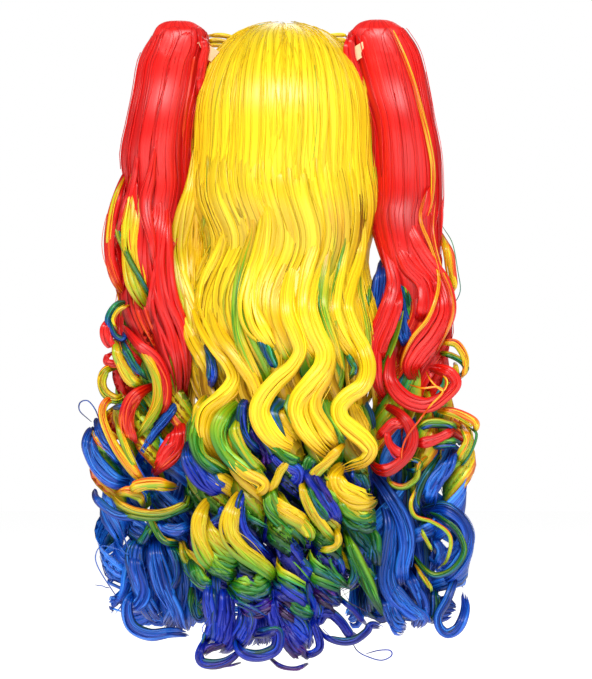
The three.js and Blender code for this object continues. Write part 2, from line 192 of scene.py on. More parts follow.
def cap_rings(steps=48, turns=96, top=0.004):
    """Wall of the cap: from the crown down outside, round the rim and up inside; the polar angle runs to the
    rim's and back, and tapes stand out where it passes a whole number of steps."""
    share = np.concatenate([np.linspace(top, 1, steps), np.linspace(1, top, steps)])[:, None]
    outside = np.concatenate([np.ones(steps), np.zeros(steps)])[:, None]
    turn = np.linspace(0, 360, turns, endpoint=False)[None, :]
    polar = share * rim_angle(turn)
    left = rim_angle(turn) - polar
    off = (polar / TAPE_STEP + 0.5) % 1 - 0.5
    tape = np.minimum(np.exp(-((off / TAPE_SHARE) ** 4)) + np.exp(-((left / RIM_TAPE) ** 4)), 1)
    wall = np.where(outside > 0, CAP_WALL - TAPE_PROUD + TAPE_PROUD * tape, CAP_GAP - TAPE_PROUD * tape)
    weave = np.stack(np.broadcast_arrays(turn * ROUND_DEGREE, polar * DOWN_DEGREE, outside), -1)
    return {"points": head_point(turn, polar, wall), "strand": weave, "fade": tape, "tone": 1.0}


def net_finish():
    """Threads on two slants over darker holes, with plain woven tape where the tapes run."""
    finish, t, shader = new_finish("cap net")
    weave = node(t, "ShaderNodeAttribute", attribute_name="strand")["Vector"]
    tape = node(t, "ShaderNodeAttribute", attribute_name="fade")["Fac"]
    threads = []
    for slant in (NET_SLANT, -NET_SLANT):
        turned = node(t, "ShaderNodeMapping", {"Vector": weave, "Rotation": (0, 0, slant)})[0]
        bands = node(t, "ShaderNodeTexWave", {"Vector": turned, "Scale": 120.0, "Distortion": 0.6})
        threads.append(bands["Fac"])
    net = node(t, "ShaderNodeMath", {0: threads[0], 1: threads[1]}, operation="MAXIMUM")[0]
    fine = node(t, "ShaderNodeTexWave", {"Vector": weave, "Scale": 420.0, "Distortion": 1.0})["Fac"]
    plain = mapped(t, fine, 0.75, 1.0)
    mask = node(t, "ShaderNodeMix", {"Factor": tape, "A": net, "B": plain}, data_type="FLOAT")[0]
    bump = node(t, "ShaderNodeBump", {"Height": mask, "Strength": 0.6, "Distance": 0.4 * MM})
    feed(t, shader, {
        "Base Color": dye_ramp(t, mask, NET_DYE),
        "Roughness": mapped(t, mask, 0.95, 0.7),
        "Normal": bump["Normal"],
    })
    return finish


show_piece("wig_cap_net", [cap_rings()], net_finish(), "wig_cap")


# Crown hair
# Smooth straight hair that lies over the dome in broad overlapping locks from the top of the head.
# Silky synthetic fibre, sewn to the cap, each lock feathered out over the hair that hangs below it.
WAVE_LEFT = np.array([
    [-60, -1.25], [113, -0.25], [187, 0.25], [255, 0.75], [330, 1.25], [366, 1.75], [404, 2.0], [485, 3.0],
    [557, 4.0], [640, 5.1],
])
WAVE_RIGHT = np.array([
    [-60, -1.25], [113, -0.25], [192, 0.25], [259, 0.75], [322, 1.25], [354, 1.75], [373, 2.0], [449, 3.0],
    [518, 4.0], [640, 5.7],
])
QUARTER = 145 * MM
SWING, SWELL, SWELL_LEAD = 10.0, 8.0, 0.63
WAVES_BEGIN, SWING_FULL, SWELL_FULL = 85, 210, 190
CROWN_OUT, CROWN_IN, CROWN_STOP, CROWN_LOCKS = 7.4, 2.4, 33.0, 96
# The second is how much painted shade darkens each lock towards its edges.
LOCK_POWER, EDGE_PAINTED_SHADE = 0.4, 0.05
CIRCLE, ANY_PHASE = 6.28, 6.3
BASE_DYE = (
    (0.00, (255, 230, 38)),
    (0.12, (254, 214, 20)),
    (0.30, (232, 206, 24)),
    (0.42, (150, 196, 34)),
    (0.53, (34, 150, 48)),
    (0.64, (6, 104, 132)),
    (0.72, (0, 74, 202)),
    (0.86, (18, 44, 176)),
    (1.00, (98, 22, 130)),
)


def smooth(x, low, high):
    """0 below low, 1 above high, and 3t^2 - 2t^3 between."""
    t = np.clip((x - low) / (high - low), 0, 1)
    return t * t * (3 - 2 * t)


def through(rows, t):
    """Smooth curve through rows: on each span, the cubic whose slope at a row is half the step between its
    neighbours."""
    ends = np.concatenate([[2 * rows[0] - rows[1]], rows, [2 * rows[-1] - rows[-2]]])
    place = np.clip(t, 0, 1) * (len(rows) - 1)
    k = np.minimum(place.astype(int), len(rows) - 2)
    f = (place - k)[:, None]
    a, b, c, d = (ends[k + j] for j in range(4))
    return b + f * ((c - a) / 2 + f * (a - 2.5 * b + 2 * c - d / 2 + f * (1.5 * (b - c) + (d - a) / 2)))


def wave_turns(drop, wave):
    """Turns of the curl down to a drop in mm, on a smooth curve through the wave's rows of drop and turns."""
    return np.interp(drop, *through(wave, np.linspace(0, 1, 200)).T)


def base_turns(turn, drop):
    """Turns of the base hair: those of its left half, passing over to those of its right half near the middle."""
    share = smooth(turn, -18.0, -2.0)
    return (1 - share) * wave_turns(drop, WAVE_LEFT) + share * wave_turns(drop, WAVE_RIGHT)


def swing_at(drop):
    """Most that the waves swing sideways at a drop, both in mm."""
    return SWING * smooth(drop, WAVES_BEGIN, SWING_FULL)


def swell_at(drop):
    """Most that the waves swell outwards at a drop, both in mm."""
    return SWELL * smooth(drop, WAVES_BEGIN, SWELL_FULL)


def hang(turn, run, out):
    """Point of straight hair at a run from the crown: a quarter round the dome by polar angle, then down."""
    p = head_point(turn, np.clip(run / QUARTER, 0, 1) * 90, out)
    p[..., 2] -= np.maximum(run - QUARTER, 0)
    return p


def fall(turn, run, out, lag=0.0, sway=1.0):
    """Point of the waved hair: straight hair, moved sideways by the swing times the sine of the waves and out by
    the swell times their cosine a tenth of a turn on."""
    p = hang(turn, run, out)
    drop = -p[..., 2] / MM
    angle = 2 * np.pi * (base_turns(turn, drop) - lag)
    swing = swing_at(drop) * MM * sway * np.sin(angle)
    swell = swell_at(drop) * MM * np.cos(angle + SWELL_LEAD)
    c, s = np.cos(np.radians(turn)), np.sin(np.radians(turn))
    p[..., 0] += swing * c + swell * s
    p[..., 1] += swing * s - swell * c
    return p


def fall_line(turn, run, out):
    """Line down the waved hair at a turn, and the way out of it at each point."""
    path = fall(turn, run, out)
    return path, fall(turn, run, out + MM) - path


def edge_run(turn):
    """How far down the fall the crown hair reaches: its polar angle is the rim's less the crown's stop."""
    return (rim_angle(turn) - CROWN_STOP) / 90 * QUARTER


def unit(v):
    """Rows of v at length one."""
    return v / np.maximum(np.linalg.norm(v, axis=-1, keepdims=True), 1e-12)


def lock_frame(path, outward):
    """Directions at each point of a lock's path: out of its face, square to the path, and across it."""
    along = unit(np.gradient(path, axis=0))
    face = unit(outward - (outward * along).sum(1, keepdims=True) * along)
    return face, np.cross(along, face)


def lock(path, outward, wide, thick, fade, seed, sides, tone=1.0, tilt=0.0, ridge=0.3):
    """Flat lock carried along a path: broad times wide cos a, plus face times thick sin a, both to the lock's
    power. The face looks outward, square to the path, and the thickness swells by cosines across the lock that
    drift along it. The tone deepens towards both edges as painted shade between the locks."""
    rng = np.random.default_rng(seed)
    n = len(path)
    face, broad = lock_frame(path, outward)
    angle = np.arange(sides) * 2 * np.pi / sides
    rounds = (np.cos(angle)[None, :], np.sin(angle)[None, :])
    c, s = (np.sign(v) * np.abs(v).round(9) ** LOCK_POWER for v in rounds)
    run = np.concatenate([[0], np.cumsum(np.linalg.norm(np.diff(path, axis=0), axis=1))])[:, None]
    swell = np.zeros((n, sides))
    for k in (1.7, 3.1, 5.3):
        swell += np.cos(k * np.pi * c + rng.uniform(0, ANY_PHASE) + rng.uniform(-18, 18) * run * k / 3) / 3
    wide, thick = np.broadcast_to(wide, n)[:, None], np.broadcast_to(thick, n)[:, None]
    depth = thick * s * (1 + ridge * swell)
    points = path[:, None] + broad[:, None] * (wide * c)[..., None] + face[:, None] * depth[..., None]
    home = rng.uniform(0, 5, 2)
    across, deep = c * np.median(wide) + home[0], s * np.median(thick) * 1.5 + home[1]
    strand = np.stack(np.broadcast_arrays(across, deep, run), -1)
    fade = np.broadcast_to(fade, n)[:, None] + np.broadcast_to(tilt, n)[:, None] * c
    # Painted shade: the tone darkens towards both edges of the lock.
    tone = np.broadcast_to(tone, n)[:, None] * (1 - EDGE_PAINTED_SHADE * np.abs(c) ** 5)
    return {"points": points, "strand": strand, "fade": fade, "tone": tone}


def taper(n, start, end, tip=0.06):
    """Width along a lock: the tip value at both ends, rising by a root to one over the start and the end share."""
    t = np.linspace(0, 1, n)
    grown = np.sqrt(np.clip(t / start, 0, 1)) * np.sqrt(np.clip((1 - t) / end, 0, 1))
    return tip + (1 - tip) * grown


def bundle(path, outward, wide, thick, fade, seed, count, tilt=0.0, tone=1.0, ends=0.12, loose=0.16, mixed=0.07,
           arch=0.3, sides=6):
    """Lock of several flat ones that overlap side by side, highest in the middle. Each keeps a place across the
    lock that wanders by a slow sine, leans out by the arch, and starts and ends a little inside the lock. It takes
    the dye of its place and a tone of its own with painted light and shade on it, lighter on the upper side and
    darker on the lower side, and is wider where it has fewer sides."""
    rng = np.random.default_rng(seed)
    n = len(path)
    t = np.linspace(0, 1, n)
    face, broad = lock_frame(path, outward)
    wide, thick, fade, tilt, tone = (np.broadcast_to(v, n) for v in (wide, thick, fade, tilt, tone))
    made = []
    for k in range(count):
        at = (2 * k + 1) / count - 1 + rng.uniform(-0.3, 0.3) / count
        place = at + loose * np.sin(CIRCLE * (rng.uniform(0.6, 1.8) * t + rng.uniform())) * (0.4 + t - t**6)
        rise = rng.uniform(-0.16, 0.16) + 0.14 * np.sin(CIRCLE * (2 * t + rng.uniform()))
        lift = thick * (0.5 - 0.9 * at * at + rise)
        turned = rng.uniform(-0.15, 0.15) + arch * at
        part = slice(int(n * ends * rng.uniform(0, 0.7)), n - int(n * ends * rng.uniform()))
        middle = (path + broad * (place * wide)[:, None] + face * lift[:, None])[part]
        facing = (face * np.cos(turned) + broad * np.sin(turned))[part]
        narrow = wide[part] * rng.uniform(11, 15.5) / sides / count * taper(len(middle), 0.06, 0.18, 0.08)
        dye = (fade + tilt * at + rng.uniform(-0.35, 0.35) * mixed)[part]
        # Painted light and shade: the tone rises on the lock's upper side and falls on its lower side.
        own = (tone * rng.uniform(1 - mixed, 1.02) * (1 + 0.2 * at * broad[:, 2]))[part]
        slope = (tilt * 1.8 / count)[part]
        made.append(lock(middle, facing, narrow, (thick * 0.3)[part], dye, seed + k, sides, own, slope, 0.2))
    return made


def strays(path, outward, wide, fade, seed, count, lift=1.5):
    """Loose strands along a lock: thin round tubes that wander across it and stand a little off its face."""
    rng = np.random.default_rng(seed)
    n = len(path)
    t = np.linspace(0, 1, n)
    face, broad = lock_frame(path, outward)
    fade = np.broadcast_to(fade, n)
    made = []
    for k in range(count):
        place = rng.uniform(-1.1, 1.1) + 0.3 * np.sin(CIRCLE * (rng.uniform(0.5, 2) * t + rng.uniform()))
        off = MM * (1.5 + lift * rng.uniform() * np.sin(CIRCLE / 2 * t) + rng.uniform(-0.5, 0.5))
        part = slice(int(n * rng.uniform(0, 0.4)), n - int(n * rng.uniform(0, 0.25)), 2)
        middle = (path + broad * (place * wide)[:, None] + face * off[:, None])[part]
        thin = rng.uniform(0.25, 0.42) * MM
        if len(middle) > 4:
            dye = fade[part] + rng.uniform(-0.06, 0.06)
            made.append(lock(middle, face[part], thin, thin, dye, seed + k, 4, ridge=0.0))
    return made


def hair_streaks():
    """Streaks along the strands: a broad and a fine noise, mixed, shift the dye and change tone and height."""
    group = bpy.data.node_groups.new("hair streaks", "ShaderNodeTree")
    group.interface.new_socket("Strand", in_out="INPUT", socket_type="NodeSocketVector")
    for name in ("Shift", "Tone", "Height"):
        group.interface.new_socket(name, in_out="OUTPUT", socket_type="NodeSocketFloat")
    given = node(group, "NodeGroupInput")[0]
    made = []
    for stretch, detail in (((420, 420, 5), 2.0), ((1100, 1100, 8), 3.0)):
        place = node(group, "ShaderNodeVectorMath", {0: given, 1: stretch}, operation="MULTIPLY")[0]
        made.append(node(group, "ShaderNodeTexNoise", {"Vector": place, "Scale": 1.0, "Detail": detail})["Fac"])
    both = node(group, "ShaderNodeMix", {"Factor": 0.55, "A": made[0], "B": made[1]}, data_type="FLOAT")[0]
    shift = node(group, "ShaderNodeMath", {0: both, 1: 0.5}, operation="SUBTRACT")[0]
    tone = node(group, "ShaderNodeMapRange", {"Value": both, "From Min": 0.36, "From Max": 0.64})[0]
    node(group, "NodeGroupOutput", {"Shift": shift, "Tone": tone, "Height": both})
    return group


def hair_finish(name, dye, streaks):
    """Silky fibre: the dye is read at the lock's fade plus the streak's shift, and darkened by streak and tone. It
    glows faintly in a deeper shade of its own colour, painted light that fills the shade.
    """
    finish, t, shader = new_finish(name)
    strand = node(t, "ShaderNodeAttribute", attribute_name="strand")["Vector"]
    fade = node(t, "ShaderNodeAttribute", attribute_name="fade")["Fac"]
    own = node(t, "ShaderNodeAttribute", attribute_name="tone")["Fac"]
    streak = node(t, "ShaderNodeGroup", {"Strand": strand}, node_tree=streaks)
    place = node(t, "ShaderNodeMath", {0: streak["Shift"], 1: 0.55, 2: fade}, operation="MULTIPLY_ADD")[0]
    tint = dye_ramp(t, place, dye)
    deep = mapped(t, streak["Tone"], 3.0, 2.1)
    deep = node(t, "ShaderNodeMath", {0: own, 1: -1.3, 2: deep}, operation="MULTIPLY_ADD")[0]
    rich = node(t, "ShaderNodeGamma", {"Color": tint, "Gamma": deep})["Color"]
    shade = node(t, "ShaderNodeMath", {0: mapped(t, streak["Tone"], 0.62, 1.08), 1: own}, operation="MULTIPLY")[0]
    tinted = node(t, "ShaderNodeVectorMath", {0: rich, "Scale": shade}, operation="SCALE")[0]
    bump = node(t, "ShaderNodeBump", {"Height": streak["Height"], "Strength": 0.45, "Distance": 0.7 * MM})
    feed(t, shader, {
        "Base Color": tinted,
        # Painted light: the fibre glows faintly in its own colour.
        "Emission Color": node(t, "ShaderNodeGamma", {"Color": tinted, "Gamma": 1.25})["Color"],
        "Emission Strength": 0.07,
        "Roughness": mapped(t, streak["Tone"], 0.46, 0.32),
        "Specular IOR Level": 0.5,
        "Coat Weight": 0.15,
        "Coat Roughness": 0.4,
        "Anisotropic": 0.7,
        "Anisotropic Rotation": 0.25,
        "Tangent": node(t, "ShaderNodeTangent", direction_type="UV_MAP", uv_map="OFBake")["Tangent"],
        "Normal": bump["Normal"],
    })
    return finish


def crown_shell(rows=40, turns=120, top=0.01):
    """Shell of hair over the whole dome: down outside from the top to the crown edge and up again inside."""
    share = np.concatenate([np.linspace(top, 1, rows), np.linspace(1, top, rows)])[:, None]
    out = np.concatenate([np.full(rows, CROWN_OUT * MM), np.full(rows, CROWN_IN * MM)])[:, None]
    turn = np.linspace(-180, 180, turns, endpoint=False)[None, :]
    run = share * edge_run(turn)
    strand = np.stack(np.broadcast_arrays(turn * ROUND_DEGREE, 0 * turn, run), -1)
    return {"points": fall(turn, run, out), "strand": strand, "fade": 0.02, "tone": 0.96}


def crown_locks(rows=34):
    """Thin flat locks round the dome: each from near the top down past the crown edge, spreading with the dome
    and sinking into the hair below, and a few loose strands, of which some are lime."""
    rng = np.random.default_rng(11)
    made = []
    for k in range(CROWN_LOCKS):
        turn = -180 + 360 * (k + rng.uniform(0.1, 0.9)) / CROWN_LOCKS
        edge = edge_run(turn)
        start, reach = rng.uniform(4, 30) * MM, rng.uniform(30, 170) * MM
        run = np.linspace(start, edge + reach, rows)
        raised = 0.9 * smooth(run, edge - 40 * MM, edge) - 1.2 * smooth(run, edge, edge + reach)
        path, outward = fall_line(turn, run, (rng.uniform(CROWN_OUT, CROWN_OUT + 0.35) + raised) * MM)
        room = MM + 0.2 * np.hypot(path[:, 0], path[:, 1])
        wide = np.minimum(rng.uniform(7, 13) * MM, room) * taper(rows, 0.1, 0.6, 0.02)
        thick = rng.uniform(0.22, 0.34) * MM * taper(rows, 0.15, 0.6, 0.02)
        dye, tone = rng.uniform(0, 0.05), rng.uniform(0.97, 1.02)
        made.append(lock(path, outward, wide, thick, dye, 100 + k, 10, tone))
        made += strays(path, outward, wide, 0.38 if k % 16 == 3 else 0.03, 900 + 7 * k, 2, 0.6)
    return made


streaks = hair_streaks()
base_finish = hair_finish("base hair", BASE_DYE, streaks)
show_piece("crown_locks", [crown_shell(), *crown_locks()], base_finish, "crown_hair")


# Back hair, in three sections
# Long locks sewn to the cap in a weft, waved from the nape down and curled into ringlets at the ends.
# The same fibre as the crown, dyed from yellow through green and blue to purple at the tips.
DYE_RUN = np.array([
    [0, 0.0], [330, 0.03], [430, 0.1], [490, 0.22], [518, 0.42], [538, 0.6], [558, 0.74], [590, 0.95],
])
SHEET_IN, FALL_HALF, FALL_DEEP, ONTO_FACE = 2.6, 88, 110, (250, 340)
SECTIONS = {"left": (-78, -26, 322), "centre": (-25.6, 25.6, 326), "right": (26, 78, 322)}
# Turn, half the gap of its two locks, tip across and back, drop, coil, half width, early dye, tilt of dye, lag
RINGLETS = {
    "left": (
        (-71, 6, -78, -42, 556, 13, 8, 0.16, 0.12, 0.10),
        (-48, 8, -59, -82, 588, 17, 10, 0.00, 0.20, 0.00),
    ),
    "centre": (
        (-24, 7, -30, -99, 586, 17, 10, 0.03, 0.22, 0.03),
        (-1, 7, 6, -103, 590, 17, 11, 0.04, 0.22, 0.00),
    ),
    "right": (
        (25, 6, 38, -96, 578, 17, 10, 0.03, 0.18, 0.00),
        (50, 8, 67, -72, 566, 17, 12, -0.02, 0.14, -0.03),
        (72, 5, 78, -36, 550, 13, 9, 0.24, 0.12, 0.2),
    ),
}
# Turn, tip across and back, drop, early dye, half width
LIME_LOCKS = {
    "left": ((-66, -76, -60, 440, 0.42, 4),),
    "centre": ((-17, -24, -96, 470, 0.4, 5), (-29, -36, -92, 470, 0.3, 3)),
    "right": ((29, 46, -90, 470, 0.38, 5), (62, 70, -60, 450, 0.36, 3), (34, 44, -90, 440, 0.3, 3)),
}
# Lag behind the ringlet, change of coil, share of its width, early dye, tilt of dye
COMPANIONS = ((0.3, -3, 0.9, 0.26, 0.14), (0.6, -5, 0.8, 0.50, 0.1))
# Half width, depth behind the head's middle, first and last dye, then places across and up
BACK_CURLS = {
    "left": (
        # Hair drawn up to the clip
        (1.7, 10, 0.0, 0.1, -37, -11, -49, -6, -61, -4, -73, -5),
        (1.8, 14, 0.2, 0.36, -40, -16, -52, -11, -63, -9, -74, -11),
        (1.6, 20, 0.02, 0.12, -44, -22, -53, -16, -64, -14, -75, -15),
        # Waved locks of the fall, with lime and olive streaks
        (11, 80, 0.24, 0.34, -79, -105, -82, -142, -89, -172, -94, -202, -90, -229, -85, -252, -79, -280, -78,
         -308),
        (10, 70, 0.14, 0.28, -94, -190, -100, -214, -96, -239, -89, -262, -80, -285, -70, -303, -66, -321, -72,
         -341),
        (7, 90, 0.02, 0.1, -51, -181, -58, -206, -69, -230, -74, -251, -68, -271, -56, -291, -43, -308, -40,
         -324),
        (3, 84, -0.1, 0.38, -70, -96, -68, -128, -69, -156, -73, -181, -79, -206),
        (9, 62, 0.12, 0.26, -80, -146, -80, -174, -82, -201, -83, -229, -81, -257),
        (4, 90, 0.62, 0.7, -74, -291, -68, -305, -65, -319, -68, -334),
        # Yellow front of the first curl, then its green and blue
        (8, 96, 0.05, 0.2, -63, -197, -73, -218, -80, -239, -80, -257, -74, -276, -62, -294, -49, -309, -43,
         -323, -47, -334, -57, -344, -70, -355, -74, -369, -72, -382, -65, -395, -53, -405),
        (6.5, 94, 0.42, 0.55, -73, -349, -79, -368, -80, -383, -74, -398, -61, -408, -43, -416),
        (9, 88, 0.66, 0.78, -86, -382, -86, -398, -76, -413, -63, -425, -45, -436),
        (5, 90, 0.3, 0.42, -71, -340, -79, -356, -83, -372, -81, -387),
        # Second curl
        (7, 96, 0.2, 0.46, -67, -434, -76, -448, -79, -462, -75, -478, -68, -492, -60, -503),
        (10, 92, 0.26, 0.5, -74, -446, -70, -467, -59, -481, -46, -488, -36, -488),
        (7, 91, 0.46, 0.56, -73, -478, -66, -495, -54, -504, -40, -507),
        (5, 84, 0.7, 0.8, -53, -437, -56, -451, -65, -460, -69, -469),
        (6, 86, 0.5, 0.62, -86, -492, -80, -506, -72, -514, -62, -514),
        (12, 80, 0.66, 0.8, -64, -493, -61, -520, -57, -548, -58, -572),
        # Blue end and its loop
        (9, 88, 0.7, 0.76, -65, -509, -64, -527, -62, -545, -64, -560, -69, -571),
        (9, 86, 0.74, 0.84, -53, -513, -51, -529, -50, -548, -53, -566, -62, -577),
        (3.4, 90, 0.74, 0.84, -65, -560, -73, -570, -77, -580, -74, -587, -63, -588, -51, -584, -41, -575, -40,
         -566),
        (3, 86, 0.95, 1.0, -43, -559, -56, -570, -69, -575, -74, -581),
        (1.2, 88, 0.9, 0.95, -74, -583, -64, -591, -52, -590, -39, -588),
        (1.4, 84, 0.6, 0.66, -65, -546, -72, -561, -77, -575),
    ),
    "centre": (
        # Waved locks of the fall, with lime streaks
        (9, 108, 0.0, 0.08, -19, -152, -15, -179, -19, -207, -27, -230, -31, -253, -27, -274, -15, -292, -2,
         -306),
        (7, 106, 0.02, 0.1, 27, -170, 29, -198, 21, -223, 16, -248, 17, -269, 25, -288, 33, -304, 31, -321),
        (5, 110, -0.1, 0.43, -30, -157, -28, -188, -34, -213, -39, -235, -42, -260, -41, -283, -34, -303, -22,
         -328, -17, -344),
        (4, 110, -0.1, 0.42, 46, -177, 41, -211, 36, -239, 35, -257, 40, -277, 49, -299, 56, -319),
        (4.5, 104, 0.58, 0.66, -24, -282, -17, -296, -11, -308, -6, -321),
        # Lime lock with its yellow edge
        (8, 106, 0.42, 0.5, -37, -343, -52, -357, -59, -372, -56, -387, -46, -401, -31, -412, -17, -417),
        (5, 109, 0.34, 0.42, -39, -356, -45, -372, -38, -388, -27, -402, -15, -412),
        (5, 107, 0.16, 0.2, -54, -385, -46, -400, -34, -412, -19, -421, -21, -428, -31, -435),
        (4, 104, 0.64, 0.7, -28, -341, -37, -348, -39, -362, -36, -375, -27, -387, -17, -396),
        (5.5, 110, 0.1, 0.18, -41, -207, -54, -227, -63, -245, -64, -264, -58, -284, -47, -300, -36, -315, -27,
         -329, -24, -343, -29, -355, -36, -367),
        (9, 96, 0.84, 0.96, -28, -361, -21, -379, -13, -394, -9, -412),
        # Large yellow curl of the middle
        (8.5, 112, 0.02, 0.16, 18, -198, 10, -223, 5, -245, 6, -266, 13, -285, 16, -300, 8, -315, -6, -328,
         -17, -342, -21, -356, -15, -372, -4, -384, 9, -391, 21, -395),
        (4, 108, 0.5, 0.56, -16, -378, -5, -390, 7, -399, 20, -401),
        (6, 104, 0.7, 0.78, -17, -381, -8, -395, 3, -405, 13, -411, 11, -419, 1, -426),
        (3.2, 106, 0.22, 0.26, 16, -390, 6, -401, -3, -411, -8, -423, -14, -435),
        (8, 94, 0.88, 1.0, -1, -352, -3, -367, 5, -380, 18, -389),
        # Broad yellow lock right of it
        (9, 112, 0.02, 0.14, 41, -190, 36, -214, 28, -238, 25, -260, 31, -280, 40, -299, 38, -315, 26, -330,
         15, -343, 12, -356, 17, -370, 27, -383, 38, -393, 47, -398),
        (7, 110, 0.04, 0.16, 44, -294, 45, -310, 38, -325, 29, -341, 29, -355, 36, -369, 45, -381, 52, -390),
        (4.2, 106, 0.18, 0.32, 58, -384, 50, -393, 40, -402, 30, -411, 21, -424),
        (6, 98, 0.5, 0.62, 30, -395, 23, -404, 18, -416),
        # Second curls: yellow over blue
        (8.5, 108, 0.22, 0.46, -34, -425, -44, -439, -49, -455, -47, -469, -37, -482, -24, -493, -12, -503, -6,
         -510),
        (4, 105, 0.68, 0.76, -30, -420, -38, -436, -39, -453, -34, -468, -23, -481, -10, -493),
        (12, 97, 0.5, 0.58, -51, -514, -34, -519, -21, -518, -8, -510),
        (8, 104, 0.44, 0.54, -13, -418, -12, -435, -5, -449, 6, -463, 18, -473),
        (5, 106, 0.3, 0.4, -4, -429, 5, -444, 16, -457, 25, -468, 23, -475),
        (4.5, 108, 0.26, 0.44, 17, -412, 19, -429, 26, -445, 37, -462, 51, -478),
        (4, 108, 0.5, 0.6, 21, -416, 26, -433, 35, -447, 46, -460),
        (5.5, 107, 0.7, 0.8, 19, -401, 27, -418, 37, -434, 46, -448, 52, -460),
        (2.6, 108, 0.86, 0.96, 25, -407, 36, -425, 49, -446),
        (3, 103, 0.26, 0.42, 45, -457, 51, -470, 50, -478, 41, -482, 29, -482),
        (12, 86, 0.7, 0.8, -34, -506, -31, -527, -30, -549, -34, -572),
        (12, 86, 0.72, 0.84, -14, -503, -14, -527, -14, -549, -16, -573),
        (12, 86, 0.66, 0.78, 5, -503, 7, -527, 13, -549, 18, -575),
        (11, 84, 0.64, 0.74, 19, -492, 24, -515, 28, -535, 27, -553),
        # Blue and purple ends with their loops
        (6, 96, 0.86, 0.98, -41, -532, -30, -539, -17, -537, -6, -529),
        (8, 94, 0.7, 0.78, -38, -529, -33, -544, -37, -560, -41, -571),
        (4.4, 98, 0.72, 0.82, -39, -558, -41, -571, -32, -578, -18, -579, -6, -573, -5, -558, -19, -560, -30,
         -562),
        (7, 94, 0.74, 0.84, -10, -520, -7, -538, -5, -556, -5, -573),
        (1.6, 92, 0.95, 1.0, -14, -582, -2, -590, 12, -592, 25, -588),
        (7, 98, 0.5, 0.58, -3, -514, 7, -528, 18, -538, 30, -544),
        (10, 94, 0.7, 0.78, -3, -525, 4, -543, 15, -558, 26, -573),
        (6, 94, 0.86, 1.0, -5, -545, 2, -562, 12, -575, 23, -580),
        (3.2, 97, 0.72, 0.78, 22, -540, 30, -554, 34, -570, 28, -578, 15, -580),
        (8, 96, 0.68, 0.76, -6, -469, 4, -485, 17, -500, 30, -512),
        (0.7, 102, 0.44, 0.5, -6, -473, 5, -488, 17, -501, 28, -514),
    ),
    "right": (
        # Hair drawn up to the clip
        (1.7, 10, 0.0, 0.1, 27, -9, 40, -5, 52, -4, 64, -6),
        (1.8, 14, 0.06, 0.2, 32, -15, 44, -10, 54, -9, 65, -12),
        (1.6, 20, 0.02, 0.12, 36, -22, 46, -16, 55, -14, 66, -15),
        # Waved locks of the fall, with lime streaks
        (6, 100, 0.04, 0.12, 57, -165, 58, -194, 53, -220, 48, -243, 46, -264, 53, -285, 63, -301, 69, -317),
        (2, 102, -0.1, 0.4, 55, -161, 56, -194, 52, -221, 47, -249, 48, -276, 56, -299),
        (2.6, 98, 0.52, 0.58, 56, -299, 63, -309, 66, -317, 61, -326),
        (3, 80, 0.5, 0.56, 79, -234, 78, -260, 79, -291),
        # Yellow curl at the right
        (8, 104, 0.02, 0.12, 61, -115, 67, -146, 72, -175, 73, -198, 69, -219, 62, -239, 58, -259, 64, -279,
         74, -298, 78, -315, 73, -331, 59, -341, 51, -351, 53, -363, 64, -373, 75, -382, 81, -391, 75, -401,
         62, -406, 50, -411),
        (10.5, 100, 0.12, 0.34, 56, -403, 48, -415, 52, -427, 64, -436, 76, -439, 87, -436),
        (6.5, 98, 0.36, 0.46, 50, -429, 59, -444, 72, -452, 86, -450),
        (5, 92, 0.52, 0.62, 53, -441, 62, -456, 75, -462, 87, -459),
        (1.5, 106, 0.4, 0.44, 32, -330, 36, -345, 41, -359, 51, -374, 57, -385),
        (6, 90, 0.66, 0.74, 34, -411, 42, -420, 49, -430, 55, -441),
        (6, 84, 0.6, 0.7, 64, -409, 71, -419, 77, -430),
        # Green and blue curl below
        (6, 94, 0.54, 0.6, 34, -474, 37, -490, 46, -506, 61, -518),
        (6, 90, 0.66, 0.72, 40, -477, 46, -490, 54, -503),
        (4.4, 88, 0.54, 0.62, 56, -481, 64, -494, 66, -508, 60, -520),
        (6, 90, 0.56, 0.68, 14, -488, 27, -508, 40, -523, 54, -533),
        (3.4, 94, 0.84, 0.92, 23, -485, 32, -505, 43, -519, 53, -526),
        (13, 72, 0.56, 0.68, 58, -448, 68, -465, 77, -482, 82, -498),
        # Bright green lock
        (4.5, 92, 0.46, 0.54, 56, -463, 63, -480, 70, -496, 80, -519, 93, -545),
        # Small blue curls and rings
        (4.2, 84, 0.74, 0.82, 28, -553, 35, -543, 45, -542, 54, -550, 62, -561, 70, -566),
        (3, 84, 0.7, 0.76, 29, -550, 39, -562, 53, -567, 66, -566, 77, -559, 82, -553, 93, -555),
        (2, 80, 0.76, 0.8, 50, -528, 66, -540, 77, -554),
        (0.6, 82, 0.7, 0.76, 62, -564, 68, -576, 79, -582, 91, -585, 100, -581, 99, -576, 90, -576, 77, -580),
        (7, 80, 0.72, 0.8, 32, -520, 36, -533, 32, -545, 27, -555),
    ),
}


def level(angle):
    """Level directions at angles in radians, turned from straight behind the head towards +X."""
    return np.stack([np.sin(angle), -np.cos(angle), 0 * angle], -1)


def run_to(drop):
    """Run down the fall that ends at a drop in mm."""
    return QUARTER + (drop * MM - HEAD_RISE)


def slow_sine(depth, rng, low, high):
    """Sine down a lock from a random start, one radian for each low to high mm."""
    return np.sin(depth / rng.uniform(low, high) + rng.uniform(0, ANY_PHASE))


def next_seed(rng):
    """Seed of the next lock."""
    return int(rng.integers(1e6))


def sheet(turns, runs, outer, fade, tone):
    """Layer of hair under the locks, closed on itself: outside across the turns, then back across the inside."""
    runs = runs[:, None]
    outside, inside = fall(turns[None, :], runs, outer * MM), fall(turns[None, ::-1], runs, SHEET_IN * MM)
    across = np.concatenate([turns, turns[::-1]])[None, :] * ROUND_DEGREE
    strand = np.stack(np.broadcast_arrays(across, 0 * across, runs), -1)
    return {"points": np.concatenate([outside, inside], 1), "strand": strand, "fade": fade[:, None], "tone": tone}


